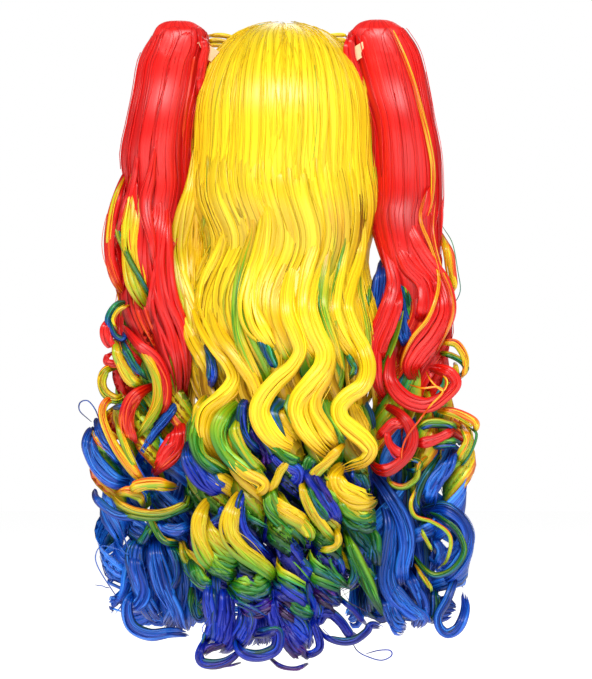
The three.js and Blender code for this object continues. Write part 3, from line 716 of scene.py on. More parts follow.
def curl(axis, outward, turns, swing, coil, opens, full, last):
    """Path that swings sideways by the sine of its turns and, as the curl opens, outward by their cosine,
    and the way that the lock then faces: outward before the curl, and away from the axis in it. The last
    part of a turn is added over the lowest 50 mm, so that the end lies round as a loop."""
    drop = -axis[:, 2] / MM
    out, across = lock_frame(axis, outward)
    turns = turns + last * smooth(drop, drop.max() - 50, drop.max() + 5)
    first = np.ceil(np.interp(opens, drop, turns))
    roll = 2 * np.pi * np.maximum(turns - first, 0)
    opened = smooth(drop, opens, full)
    sideways = (swing + (coil - swing) * opened) * MM * np.sin(2 * np.pi * turns)
    swell = swell_at(drop)
    forward = (swell + (coil - swell) * opened) * MM * np.cos(2 * np.pi * turns + SWELL_LEAD * (1 - opened))
    path = axis - across * sideways[:, None] + out * forward[:, None]
    facing = out * np.cos(roll)[:, None] - across * np.sin(roll)[:, None]
    return path, facing


def dye_at(drop, early, begin=300):
    """Place in the dye at a drop in mm, reached sooner by the share early, which grows over 120 mm."""
    return np.interp(drop, *DYE_RUN.T) + early * smooth(drop, begin, begin + 120)


def ringlet_axis(turn, tip_x, tip_y, drop, out, start, rng):
    """Middle line of a long lock: down the fall of the hair, drawn over to its ringlet between drops of 210 and
    390 mm, and wandering a few millimetres by a slow sine."""
    bend = QUARTER + 170 * MM
    run = np.concatenate([np.arange(start, bend, 8 * MM), np.arange(bend, run_to(drop), 5.5 * MM)])
    p = hang(turn, run, out)
    depth = -p[:, 2] / MM
    over = smooth(depth, 210, 390)
    wander = 3 * MM * smooth(depth, 280, 420) * slow_sine(depth, rng, 28, 45)
    p[:, 0] += over * (tip_x * MM - p[:, 0]) + wander
    p[:, 1] += over * (tip_y * MM - p[:, 1])
    return p


def long_lock(turn, tip_x, tip_y, drop, coil, wide, early, tilt, lag, seed, out, tone, count, loose, top=11.0,
              begin=300, sides=6):
    """Lock from under the crown edge to a ringlet's tip, of several strands of its dye and a few loose ones.
    It is as wide as top above the ringlet, and darkened where the waves turn down, as painted shade."""
    rng = np.random.default_rng(seed)
    axis = ringlet_axis(turn, tip_x, tip_y, drop, out * MM, edge_run(turn) - 10 * MM, rng)
    depth = -axis[:, 2] / MM
    outward = level(np.radians(turn) + 0 * depth)
    axis -= outward * (4 * MM * (1 - smooth(depth, 90, 170)))[:, None]
    swing = swing_at(depth) * rng.uniform(0.9, 1.15)
    ring = coil * (1 + 0.14 * slow_sine(depth, rng, 20, 40))
    late = lag * smooth(depth, 250, 380) + rng.uniform(-0.03, 0.03)
    late = late + 0.05 * np.sin(depth / 50 + rng.uniform(0, ANY_PHASE)) * smooth(depth, 340, 430)
    turns = base_turns(turn, depth)
    path, facing = curl(axis, outward, turns - late, swing, ring, 350, 430, 0.55)
    n = len(path)
    width = (top + (wide - top) * smooth(depth, 190, 330)) * MM * taper(n, 0.06, 0.08, 0.25)
    thick = (0.9 + (0.6 + 0.06 * wide) * smooth(depth, 240, 380)) * MM * taper(n, 0.1, 0.06)
    slope = tilt * smooth(depth, 330, 440)
    dye = dye_at(depth, early, begin)
    # Painted shade: darker where the waves turn down, away from the light.
    tone = tone * (1 - 0.11 * np.maximum(np.sin(2 * np.pi * turns), 0) * smooth(depth, 100, 190))
    made = bundle(path, facing, width, thick, dye, seed, count, slope, tone, sides=sides)
    return made + strays(path, facing, width, dye, seed + 50, loose)


def fall_share(x):
    """Place across the near face of the fall, from -0.9 to 0.9 of its half width, for a place in mm."""
    return np.clip(x / FALL_HALF, -0.9, 0.9)


def face_turns(x, drop):
    """Turns of the waves on the near face of the fall at a place across and a drop in mm."""
    return base_turns(np.degrees(np.arcsin(fall_share(x))), drop)


def hung(x, drop):
    """Depth in mm of the fall's near face at a place across and a drop: an ellipse, flatter at its sides and
    swelled by the waves."""
    share = fall_share(x)
    swell = swell_at(drop) * np.cos(2 * np.pi * face_turns(x, drop) + SWELL_LEAD)
    return (FALL_DEEP - 30 * share**4) * np.sqrt(1 - share**2) + swell


def drawn_lock(row, seed, face, leave, base=1.0):
    """Lock laid on a smooth curve through its row's points. Between the drops in leave it passes from the face of
    the hair that carries it to its own depth. Both ends sink in, and where they don't lie on that face they are
    darkened as painted shade. The lower edge is dyed later, late dyes have finer strands, and base hair is
    darkened as painted shade where its waves turn down and below 380 mm. With a first dye below zero the last one
    is reached half way, and left again."""
    rng = np.random.default_rng(seed)
    wide, back, first, last = row[:4]
    points = np.array(row[4:], float).reshape(-1, 2)
    n = 7 * len(points)
    t = np.linspace(0, 1, n)
    x, z = through(points, t).T
    shown = smooth(t, 0, 0.25) * smooth(1 - t, 0, 0.22)
    near = np.maximum(1 - base, smooth(-z, 60, 90)) * (1 - smooth(-z, *leave))
    sunk = (17 - 10 * near) * (1 - shown)
    back = back + near * (face(x, -z) - back)
    path = np.stack([x, sunk - back, z], -1) * MM
    facing = level(rng.uniform(-0.3, 0.3) + 0.4 * np.sin(CIRCLE * (t + rng.uniform())))
    dye = abs(first) + (last - abs(first)) * (t**1.4 if first >= 0 else np.sin(np.pi * t))
    # Painted shade on base hair: darker where its waves turn down, and darker below 380 mm among the ringlets.
    painted_base_shade = 0.12 * near * np.maximum(np.sin(2 * np.pi * face_turns(x, -z)), 0) + 0.06 * smooth(-z, 380, 430)
    # Painted shade: the ends are darkened where they leave the face and sink in.
    hidden = (0.4 if first >= 0 else 0.15) * (1 - shown) * (1 - 0.85 * near)
    tone = (0.97 + 0.08 * base - hidden) * (1 - base * painted_base_shade)
    blunt = last > 0.65
    width = wide * MM * taper(n, 0.3, 0.25 - 0.15 * blunt, 0.15 + 0.3 * blunt)
    if wide < 1.5:
        return [lock(path, facing, width, width, dye, seed, 5, tone, ridge=0.0)]
    thick = (0.6 + 0.2 * wide) * MM * taper(n, 0.2, 0.2)
    fine = last > 0.5
    count = 2 + int(wide if fine else wide / 1.5)
    mixed = np.interp(wide, (3, 8), (0.26, 0.12))
    slope = 0.12 * unit(np.gradient(path, axis=0))[:, 0] * (1 - near)
    made = bundle(path, facing, width, thick, dye, seed, count, slope, tone,
                  ends=0.07, loose=0.2, mixed=mixed, arch=0.9, sides=4 if fine else 6)
    return made + strays(path, facing, width, dye, seed + 50, 1)


def fill_lock(turn, drop, wide, out, early, seed, tone):
    """Shorter lock under the long ones that follows the waves and ends among the ringlets."""
    rng = np.random.default_rng(seed)
    edge = edge_run(turn)
    run = np.arange(edge - 10 * MM, run_to(drop), 9 * MM)
    rise = (out - 3 * (1 - smooth(run, edge, edge + 70 * MM))) * MM
    path = fall(turn, run, rise, rng.uniform(-0.05, 0.05), rng.uniform(0.8, 1.25))
    depth, n = -path[:, 2] / MM, len(path)
    outward = level(np.radians(turn) + 0 * depth)
    width, thick = wide * MM * taper(n, 0.08, 0.35), 1.8 * MM * taper(n, 0.1, 0.3)
    dye = dye_at(depth, 0) + early * smooth(depth, 250, 340)
    return bundle(path, outward, width, thick, dye, seed, 2, tone=tone, ends=0.25)


def back_section(name, seed):
    """Under layer, hidden fill locks, the ringlets, each fed by two long locks side by side and with companions
    of later dye a part of a turn behind it, then lime locks, an inner row and the drawn curls. The under layer,
    fill locks, companions and inner row take darker tones, painted shade for lying behind the others."""
    rng = np.random.default_rng(seed)
    low, high, drop = SECTIONS[name]
    turns = np.linspace(low, high, 24)
    runs = np.linspace(edge_run((low + high) / 2) + 2 * MM, run_to(drop), 60)
    # Painted shade: the under layer is darker than the locks, and darker again below 300 mm.
    under = (0.93 - 0.18 * smooth(runs / MM, 300, 420))[:, None]
    made = [sheet(turns, runs, 4.6, dye_at(runs / MM - 46, 0.45, 220) + 0.1, under)]
    for turn in np.arange(low + 3, high - 2, 6.2):
        # Painted shade: the fill locks take a darker tone of 0.88.
        made += fill_lock(turn + rng.uniform(-1.5, 1.5), rng.uniform(380, 450), rng.uniform(8, 12),
                          rng.uniform(5.0, 6.6), rng.uniform(0.35, 0.65), next_seed(rng), 0.88)
    for turn, apart, tip_x, tip_y, drop, coil, wide, early, tilt, lag in RINGLETS[name]:
        for side in (-1, 1):
            made += long_lock(
                turn + side * apart, tip_x, tip_y + 10, drop - rng.uniform(20, 45), coil - 3 + side, wide * 0.62,
                early + 0.15 - 0.4 * tilt * side, 0.5 * tilt, lag + 0.05 * side, next_seed(rng),
                out=rng.uniform(8.4, 9.6), tone=0.94, count=4, loose=3, top=12,
            )
        # Painted shade: companions lie behind the ringlet and take a darker tone of 0.76.
        for later, slack, part, sooner, slope in COMPANIONS:
            made += long_lock(
                turn + rng.uniform(-4, 4), tip_x + rng.uniform(-3, 3), tip_y + 12, drop - rng.uniform(20, 50),
                coil - 2 + slack, wide * part, early + sooner, slope, lag + later + rng.uniform(-0.08, 0.08),
                next_seed(rng), out=6.8, tone=0.76, count=4, loose=1, sides=4,
            )
    for turn, tip_x, tip_y, drop, early, wide in LIME_LOCKS[name]:
        made += long_lock(turn, tip_x, tip_y, drop, 10, wide, early, 0.06, 0.0, next_seed(rng),
                          out=10.2, tone=1.0, count=3, loose=2, top=wide, begin=120)
    # Painted shade: the inner row lies deepest and takes a darker tone of 0.72.
    for turn in np.linspace(low + 5, high - 5, 5):
        turn = turn + rng.uniform(-3, 3)
        tip = head_point(turn, 90, rng.uniform(-26, -12) * MM) / MM
        made += long_lock(
            turn, tip[0], tip[1], rng.uniform(490, 555), rng.uniform(12, 17), rng.uniform(8, 12),
            rng.uniform(0.35, 0.7), 0.1, rng.uniform(0, 1), next_seed(rng),
            out=5.5, tone=0.72, count=3, loose=1, sides=4,
        )
    for row in BACK_CURLS[name]:
        made += drawn_lock(row, next_seed(rng), hung, ONTO_FACE)
    return made


for number, name in enumerate(SECTIONS):
    locks = back_section(name, 20 + number)
    show_piece(f"back_locks_{name}", locks, base_finish, f"back_hair_{name}")


# Side hair, left and right
# Shorter curled lengths that hang before the ears.
# The fibre and dye of the back hair, sewn to the cap's sides in the same way.
SIDES = {"left": -1, "right": 1}
SIDE_FROM, SIDE_MIDDLE, SIDE_TO, SIDE_DROP = 78.4, 103, 128, 262
# As for the ringlets of the back, without the gap
SIDE_RINGLETS = (
    (86, 72, 0, 432, 12, 9, 0.30, 0.10, 0.0),
    (102, 69, 30, 424, 13, 9, 0.40, 0.10, 0.2),
    (119, 62, 54, 408, 12, 9, 0.30, 0.10, 0.4),
)


def side_section(sign, seed):
    """Under layer, fill locks and ringlets of the hair at one side of the face."""
    rng = np.random.default_rng(seed)
    turns = np.sort(sign * np.linspace(SIDE_FROM, SIDE_TO, 20))
    runs = np.linspace(edge_run(SIDE_MIDDLE) + 2 * MM, run_to(SIDE_DROP), 44)
    # Painted shade: the under layer takes a darker tone of 0.85.
    made = [sheet(turns, runs, 5.0, dye_at(runs / MM + 80, 0) + 0.1, 0.85)]
    for turn in np.arange(81, 126, 6.5):
        made += fill_lock(sign * turn, rng.uniform(270, 350), rng.uniform(7, 10), rng.uniform(6.0, 7.6),
                          rng.uniform(0, 0.2), next_seed(rng), rng.uniform(0.92, 1.0))
    for turn, tip_x, *rest in SIDE_RINGLETS:
        for apart in (-5, 5):
            made += long_lock(sign * (turn + apart), sign * tip_x, *rest, next_seed(rng),
                              out=9.0, tone=1.0, count=4, loose=3, top=13)
    return made


for name, sign in SIDES.items():
    locks = side_section(sign, 40 + sign)
    show_piece(f"side_locks_{name}", locks, base_finish, f"side_hair_{name}")


# Fringe
# Short straight locks that fall from the crown over the forehead.
# The fibre of the crown hair, yellow to its ends, sewn to the cap's front edge.
FRINGE_FROM, FRINGE_TO, FRINGE_ROWS = 128.4, 231.6, 26


def fringe_section(seed=60):
    """Under layer and short feathered locks across the forehead."""
    rng = np.random.default_rng(seed)
    turns = np.linspace(FRINGE_FROM, FRINGE_TO, 40)
    runs = np.linspace(edge_run(180) + 2 * MM, QUARTER + 14 * MM, 24)
    # Painted shade: the under layer takes a darker tone of 0.85.
    made = [sheet(turns, runs, 6.0, 0.03 + 0 * runs, 0.85)]
    for turn in np.arange(131, 230, 4.6):
        turn = turn + rng.uniform(-1, 1)
        run = np.linspace(edge_run(turn) - 6 * MM, QUARTER + rng.uniform(4, 18) * MM, FRINGE_ROWS)
        path, outward = fall_line(turn, run, rng.uniform(7.4, 9.2) * MM)
        width = rng.uniform(6, 9) * MM * taper(FRINGE_ROWS, 0.1, 0.4)
        thick = 1.5 * MM * taper(FRINGE_ROWS, 0.15, 0.4)
        made += bundle(path, outward, width, thick, rng.uniform(0, 0.08), next_seed(rng), 3, ends=0.2)
    return made


show_piece("fringe_locks", fringe_section(), base_finish, "fringe")


# Ponytails, left and right
# Bundles of curled locks that rise from the clip that holds them, bend over and hang beside the head.
# The fibre of the base hair, dyed from red through orange, yellow and green to blue.
TAIL_WAVE = np.array([
    [-80, -1.2], [60, -0.5], [150, 0.0], [215, 0.5], [300, 1.25], [350, 1.75], [420, 2.5], [500, 3.3],
    [640, 4.8],
])
# Height, middle of the left and of the right ponytail outwards, share of the full oval
TAIL_PATH = np.array([
    [-36, 62, 61, 0.45], [-14, 88, 86, 0.82], [-40, 107, 104, 0.98], [-86, 115, 111, 1],
    [-145, 120, 116, 1.05], [-205, 131, 118, 1.1], [-262, 124, 124, 1.1], [-330, 124, 120, 1.1],
    [-405, 130, 128, 1.3], [-485, 129, 130, 1.35], [-568, 119, 124, 1.15],
])
TAIL_WIDE, TAIL_DEEP, TAIL_BACK, TAIL_ROWS = 30.0, 23.0, -18.0, 80
TAIL_SWAY, TAIL_SWAY_LONG, TAIL_ROUND = 4, 110, 34
# Height, middle and half width of the smooth upper length
TAIL_BODY = {
    "left": np.array([
        [9, -98, 2], [8.6, -98, 8], [7.6, -98, 13], [5, -98, 18], [1, -97, 22.5], [-6, -97, 26],
        [-17, -100, 29], [-31, -105, 30], [-55, -109, 30], [-85, -115, 30], [-116, -119, 32],
        [-145, -118, 31], [-174, -123, 32], [-193, -125, 27], [-219, -126, 24], [-252, -120, 23],
        [-280, -109, 20], [-308, -103, 12], [-330, -102, 3],
    ]),
    "right": np.array([
        [10, 88, 2], [9.6, 88, 8], [8.4, 88, 13], [6, 88, 18], [1, 89, 24], [-6, 90, 28], [-17, 94, 31],
        [-31, 98, 32], [-60, 105, 31], [-85, 111, 29], [-116, 115, 31], [-154, 116, 32], [-174, 114, 33],
        [-200, 117, 30], [-222, 120, 26], [-243, 122, 20], [-262, 122, 12], [-276, 122, 3],
    ]),
}
# Face, end, phase, coil, half width, early dye, reach from the middle
TAIL_LOCKS = (
    (-80, 0.95, 0.02, 16, 11, 0.30, 0.78),
    (-125, 0.90, 0.55, 15, 12, 0.10, 0.78),
    (-165, 0.94, 0.10, 17, 13, 0.36, 0.78),
    (140, 0.97, 0.40, 16, 12, 0.30, 0.78),
    (95, 0.98, 0.15, 14, 12, 0.10, 0.78),
    (10, 0.92, 0.10, 12, 12, 0.20, 0.3),
)
TAIL_DYE = (
    (0.00, (242, 36, 28)),
    (0.22, (236, 32, 24)),
    (0.34, (253, 132, 26)),
    (0.43, (255, 218, 26)),
    (0.54, (172, 204, 36)),
    (0.64, (24, 144, 52)),
    (0.76, (4, 96, 184)),
    (1.00, (48, 136, 236)),
)
TAIL_DYE_RUN = np.array([[0, 0.0], [300, 0.04], [370, 0.2], [415, 0.4], [450, 0.56], [480, 0.74], [600, 1.0]])
# As for the drawn curls of the back
TAIL_CURLS = {
    "left": (
        # Red over the clip
        (4, 36, 0.02, 0.06, -72, -4, -71, -16, -74, -30, -77, -49, -80, -70),
        (3, 37, 0.04, 0.1, -78, -1, -74, -12, -73, -25, -76, -42, -81, -62),
        # Thin orange line down the inner edge
        (1.2, 46, 0.3, 0.36, -80, -11, -85, -38, -91, -77, -95, -122),
        # Outer red strand with its yellow edge
        (4.5, 34, 0.2, 0.3, -145, -127, -154, -154, -161, -186, -162, -211, -156, -233, -144, -252),
        (1.6, 36, 0.4, 0.42, -147, -133, -157, -158, -163, -188, -163, -209),
        # Yellow lock with a green stripe and red over its start
        (9.5, 47, 0.42, 0.48, -135, -122, -139, -164, -142, -201, -137, -234, -124, -263),
        (4.5, 57, 0.04, 0.14, -118, -104, -123, -136, -128, -164, -122, -197, -118, -229),
        (3, 56, 0.08, 0.24, -135, -109, -140, -141, -149, -174, -158, -206),
        (2.4, 57, 0.58, 0.68, -160, -164, -154, -189, -144, -213, -133, -232, -122, -252),
        # Main red lock
        (13, 49, 0.04, 0.14, -115, -143, -113, -171, -116, -198, -116, -227, -111, -257, -101, -284, -94, -315,
         -95, -347),
        (5, 47, 0.08, 0.2, -90, -94, -89, -127, -90, -159, -97, -183, -105, -202, -115, -227, -121, -257, -119,
         -288),
        (4, 45, 0.2, 0.42, -104, -170, -102, -198, -99, -227, -94, -257, -84, -289),
        # Curls at the side
        (2.6, 40, 0.62, 0.78, -142, -254, -154, -257, -162, -270, -157, -284, -149, -288, -145, -276),
        (1.6, 42, 0.44, 0.46, -140, -257, -151, -260, -158, -270, -154, -282),
        (4.5, 40, 0.06, 0.1, -161, -268, -165, -280, -162, -292, -154, -298),
        (2.5, 38, 0.02, 0.1, -155, -300, -164, -304, -165, -310, -156, -312, -149, -310),
        # Red and yellow S lock
        (5, 50, 0.06, 0.24, -151, -274, -135, -294, -118, -309, -108, -329, -109, -347, -117, -362),
        (4.2, 52, 0.4, 0.44, -146, -284, -128, -305, -117, -325, -117, -347, -128, -368, -142, -386),
        # Yellow lock and green stripe
        (5.5, 46, 0.43, 0.48, -156, -286, -153, -306, -142, -324, -129, -333),
        (3.4, 50, 0.62, 0.68, -151, -290, -141, -309, -127, -327),
        (4, 41, 0.47, 0.52, -151, -314, -164, -317, -169, -327, -165, -339, -155, -344, -145, -339),
        # Orange loop
        (6.5, 49, 0.2, 0.34, -118, -330, -137, -341, -146, -358, -144, -376, -135, -387),
        (3, 47, 0.3, 0.34, -123, -333, -139, -349, -142, -366, -139, -382),
        # Yellow locks
        (4, 48, 0.42, 0.46, -148, -343, -164, -347, -167, -362, -155, -390, -136, -415, -127, -421),
        (3, 49, 0.42, 0.5, -156, -360, -147, -388, -133, -415),
        (2, 41, 0.42, 0.46, -180, -372, -170, -389, -156, -398),
        (3.4, 43, 0.74, 0.8, -159, -353, -148, -351, -146, -362, -151, -372),
        # Outer blue locks
        (5.5, 43, 0.8, 0.95, -175, -362, -170, -378, -160, -392, -148, -405),
        (6.5, 43, 0.78, 1.0, -177, -370, -181, -386, -175, -403, -160, -419, -141, -426),
        (0.6, 40, 0.8, 0.8, -179, -366, -189, -356, -189, -348, -182, -346, -175, -354, -172, -364),
        # Lower red locks
        (9, 48, 0.08, 0.2, -97, -364, -98, -382, -108, -397, -122, -415),
        (4, 40, 0.86, 0.95, -92, -341, -104, -357, -117, -372, -129, -390, -137, -405),
        # Yellow band and loops
        (5.4, 57, 0.42, 0.44, -143, -430, -136, -425, -118, -424, -97, -426),
        (2.8, 51, 0.44, 0.52, -161, -433, -152, -442, -136, -449, -113, -450, -92, -442, -87, -431),
        (3.2, 49, 0.56, 0.68, -158, -442, -139, -452, -115, -454, -92, -446, -84, -437),
        (4.5, 46, 0.42, 0.5, -158, -433, -144, -431, -133, -435, -129, -446),
        # Blue spike
        (3.4, 45, 0.8, 0.95, -176, -428, -172, -439, -156, -451, -137, -453, -121, -452),
        # Neck of the end
        (3.6, 46, 0.62, 0.7, -115, -448, -123, -462, -129, -474, -135, -482),
        (3, 49, 0.58, 0.68, -129, -446, -121, -462, -111, -476, -95, -480),
        (5, 47, 0.84, 0.95, -119, -460, -103, -466, -84, -462),
        # Full blue end
        (7, 40, 0.78, 0.9, -125, -468, -138, -484, -137, -507, -129, -531, -115, -554),
        (8, 45, 0.82, 0.95, -119, -468, -119, -491, -111, -519, -101, -542, -96, -562),
        (7, 41, 0.7, 0.9, -111, -472, -100, -494, -95, -515, -98, -539, -109, -562),
        (6, 43, 0.84, 1.0, -135, -478, -137, -499, -131, -521, -135, -535, -145, -540),
        (4.5, 44, 0.86, 1.0, -129, -521, -142, -529, -146, -540, -141, -556, -125, -564, -105, -562, -88, -564),
        (6, 35, 0.8, 0.95, -92, -476, -90, -506, -88, -535, -88, -562),
        (3, 47, 0.66, 0.74, -111, -474, -101, -491, -99, -511, -109, -530),
        # Lime ringlet by the back hair
        (6, 53, 0.5, 0.56, -95, -476, -87, -491, -74, -505, -70, -518),
        (5, 53, 0.56, 0.64, -93, -487, -84, -505, -72, -515),
        (4, 49, 0.66, 0.8, -84, -515, -84, -534, -78, -548, -68, -540),
        # Loose strands
        (0.5, 42, 0.8, 0.85, -156, -449, -150, -468, -143, -488, -154, -484, -168, -481, -174, -488, -173,
         -499, -161, -520, -147, -541),
        (0.4, 42, 0.85, 0.85, -176, -518, -169, -518, -162, -521),
        (0.45, 42, 0.85, 0.85, -162, -429, -154, -456, -145, -484),
    ),
    "right": (
        # Red over the clip
        (4, 36, 0.02, 0.06, 62, -4, 61, -16, 64, -30, 70, -47, 76, -66),
        (3, 37, 0.04, 0.1, 69, -1, 64, -12, 64, -25, 69, -40, 75, -58),
        (1.8, 54, 0.32, 0.38, 97, 9, 108, -13, 119, -41, 127, -69, 135, -101, 140, -129, 139, -157, 134, -180),
        # Orange streaks down the red
        (1.6, 57, 0.32, 0.36, 139, -141, 130, -162, 128, -179, 137, -202, 144, -226, 143, -245, 134, -269, 120,
         -287, 111, -307, 110, -320),
        (1.6, 56, 0.32, 0.36, 143, -150, 139, -188, 146, -222, 154, -243, 157, -262, 151, -283, 138, -310),
        # Big outer lock
        (10, 47, 0.02, 0.1, 114, -162, 117, -188, 130, -213, 146, -237, 150, -262, 139, -284, 126, -301, 119,
         -317, 126, -330),
        (8, 45, 0.04, 0.12, 100, -190, 115, -218, 132, -237, 132, -259, 124, -277),
        # Inner lock
        (6.5, 47, 0.04, 0.14, 86, -176, 97, -212, 103, -240, 95, -267, 85, -290, 83, -311, 88, -334, 100, -353),
        (4, 48, 0.06, 0.14, 106, -232, 107, -255, 102, -276, 93, -297, 92, -311),
        # Red curl below
        (6.5, 51, 0.04, 0.14, 106, -292, 100, -309, 100, -328, 113, -344, 133, -350, 150, -341, 160, -330, 154,
         -321, 143, -317, 135, -316),
        (1.2, 55, 0.32, 0.36, 133, -318, 138, -328, 148, -336, 152, -327, 144, -319),
        (1.2, 55, 0.3, 0.36, 117, -331, 129, -334, 143, -333, 148, -338, 137, -350, 126, -364),
        # Blue and green behind
        (6, 29, 0.82, 0.9, 92, -214, 91, -237, 87, -262, 85, -283),
        (5, 33, 0.62, 0.66, 109, -220, 113, -239, 117, -260, 125, -280),
        (6, 33, 0.84, 0.95, 110, -249, 110, -269, 113, -284, 116, -296),
        (3, 35, 0.84, 0.9, 86, -294, 87, -314, 92, -340),
        # Yellow outside
        (4.5, 32, 0.42, 0.44, 146, -187, 153, -206, 156, -223, 158, -237, 159, -246),
        (0.4, 32, 0.6, 0.7, 149, -183, 158, -200, 163, -226, 165, -244, 158, -259),
        # Side loop
        (2.8, 40, 0.34, 0.42, 142, -294, 152, -292, 162, -294, 170, -307, 169, -321, 162, -327),
        (2.4, 39, 0.6, 0.66, 143, -301, 157, -304, 170, -314, 164, -326),
        (3, 37, 0.43, 0.46, 160, -310, 161, -319, 162, -327),
        # Red ring
        (5, 52, 0.04, 0.14, 86, -382, 100, -370, 114, -364),
        (5.5, 54, 0.04, 0.12, 87, -347, 109, -358, 120, -375, 117, -392, 103, -406, 90, -410, 79, -402),
        (4, 52, 0.06, 0.14, 100, -367, 98, -382, 106, -394, 117, -395),
        (0.9, 59, 0.33, 0.36, 143, -342, 127, -363, 115, -379, 110, -394, 111, -410),
        # Red and green strands to the side
        (4, 46, 0.08, 0.2, 118, -387, 141, -382, 163, -371),
        (3.4, 43, 0.6, 0.66, 121, -376, 135, -367, 153, -368, 161, -372),
        (3.8, 43, 0.62, 0.68, 135, -390, 151, -385, 164, -385),
        (4, 42, 0.36, 0.42, 138, -354, 159, -357, 176, -366, 179, -375),
        (1.2, 37, 0.62, 0.68, 174, -371, 180, -378, 174, -396, 162, -412),
        (3.4, 40, 0.44, 0.5, 166, -368, 172, -381, 167, -394, 163, -405),
        # Yellow coil
        (2.2, 50, 0.46, 0.52, 97, -410, 100, -422, 111, -426, 123, -418, 127, -404, 142, -394),
        (1.8, 49, 0.6, 0.66, 112, -406, 120, -401, 127, -404, 123, -410, 114, -410),
        # Blue tube lock
        (6.5, 45, 0.82, 0.95, 161, -391, 150, -409, 139, -427, 135, -443),
        (3, 45, 0.64, 0.72, 147, -396, 130, -419, 124, -440, 129, -452),
        (1.8, 51, 0.44, 0.48, 138, -403, 125, -427, 119, -441, 123, -453, 138, -458, 152, -467, 156, -478, 152,
         -495, 144, -503),
        # Big ring
        (6, 41, 0.8, 0.95, 129, -449, 148, -445, 164, -454, 172, -470, 168, -489, 156, -507, 141, -517),
        (2.4, 45, 0.62, 0.7, 120, -488, 130, -501, 142, -508, 158, -502, 168, -486, 162, -468, 148, -456, 132,
         -449),
        (1.6, 45, 0.44, 0.47, 127, -462, 133, -476, 140, -487),
        (4, 39, 0.82, 0.9, 141, -473, 147, -485, 142, -503),
        # Full blue end
        (6.5, 48, 0.82, 1.0, 80, -409, 98, -434, 110, -456, 114, -479, 111, -502, 114, -523),
        (8, 43, 0.78, 0.9, 90, -428, 101, -458, 100, -488, 98, -513, 107, -534, 121, -547),
        (7, 45, 0.84, 1.0, 96, -511, 107, -529, 121, -542, 135, -553),
        (7, 42, 0.8, 0.95, 93, -523, 98, -541, 105, -554, 115, -559),
        (6, 40, 0.84, 0.95, 113, -501, 123, -520, 130, -540, 123, -559),
        (6, 33, 0.7, 0.78, 73, -461, 77, -491, 84, -521, 87, -547),
        (4, 36, 0.66, 0.74, 141, -519, 143, -538, 138, -555),
        # Green lock over the end
        (4.6, 52, 0.56, 0.62, 60, -475, 69, -501, 81, -523, 94, -546),
        (1.6, 47, 0.46, 0.56, 122, -498, 132, -513, 140, -525),
        # Hook
        (4, 40, 0.82, 1.0, 162, -503, 160, -514, 153, -531, 145, -546, 146, -557, 153, -563, 163, -557, 169,
         -541, 168, -524),
    ),
}


def tail_axis(column, t, face, reach):
    """Line inside a ponytail, worked out on the left: its middle path, moved towards one face of its oval."""
    at = through(TAIL_PATH, t)
    middle = np.stack([-at[:, column], np.full(len(t), TAIL_BACK), at[:, 0]], -1) * MM
    ahead = np.array([0.0, 1.0, 0.0])
    outside = unit(np.cross(unit(np.gradient(middle, axis=0)), ahead))
    a = np.radians(face)
    towards = -TAIL_WIDE * np.sin(a) * outside - TAIL_DEEP * np.cos(a) * ahead
    outward = -np.sin(a) * outside / TAIL_WIDE - np.cos(a) * ahead / TAIL_DEEP
    return middle + (reach * at[:, 3])[:, None] * towards * MM, unit(outward)


def tail_lock(sign, column, face, begin, end, reach, phase, coil, wide, early, tilt, seed, tone, count, loose,
              top):
    """Lock of a ponytail from the clip to its end, laid on the bundle and then curled."""
    rng = np.random.default_rng(seed)
    leave = min(max(0.42, begin + 0.05), end - 0.05)
    laid = np.linspace(begin, leave, 20, endpoint=False)
    t = np.concatenate([laid, np.linspace(leave, end, int(120 * (end - leave)) + 4)])
    axis, outward = tail_axis(column, t, face, reach[0] + (reach[1] - reach[0]) * smooth(t, 0.3, 0.6))
    depth = -axis[:, 2] / MM
    axis[:, 0] += 5 * MM * smooth(depth, 220, 380) * slow_sine(depth, rng, 28, 50)
    swing = 8 * rng.uniform(0.8, 1.2) * smooth(depth, 60, 200)
    ring = coil * (1 + 0.16 * slow_sine(depth, rng, 20, 40))
    turns = wave_turns(depth, TAIL_WAVE) - phase * smooth(depth, 150, 330) - rng.uniform(-0.05, 0.05)
    path, facing = curl(axis, outward, turns, swing, ring, 270, 380, 0.7)
    mirror = np.array([-sign, 1.0, 1.0])
    path, facing, n = path * mirror, facing * mirror, len(path)
    width = (top + (wide - top) * smooth(depth, 160, 330)) * MM * taper(n, 0.06, 0.1, 0.15)
    thick = (0.9 + (0.5 + 0.06 * wide) * smooth(depth, 200, 340)) * MM * taper(n, 0.08, 0.05)
    dye = np.interp(depth, *TAIL_DYE_RUN.T) + early * smooth(depth, 150, 300)
    slope = sign * tilt * smooth(depth, 240, 380)
    made = bundle(path, facing, width, thick, dye, seed, count, slope, tone, sides=4 if count > 3 else 6)
    return made + strays(path, facing, width, dye, seed + 50, loose)


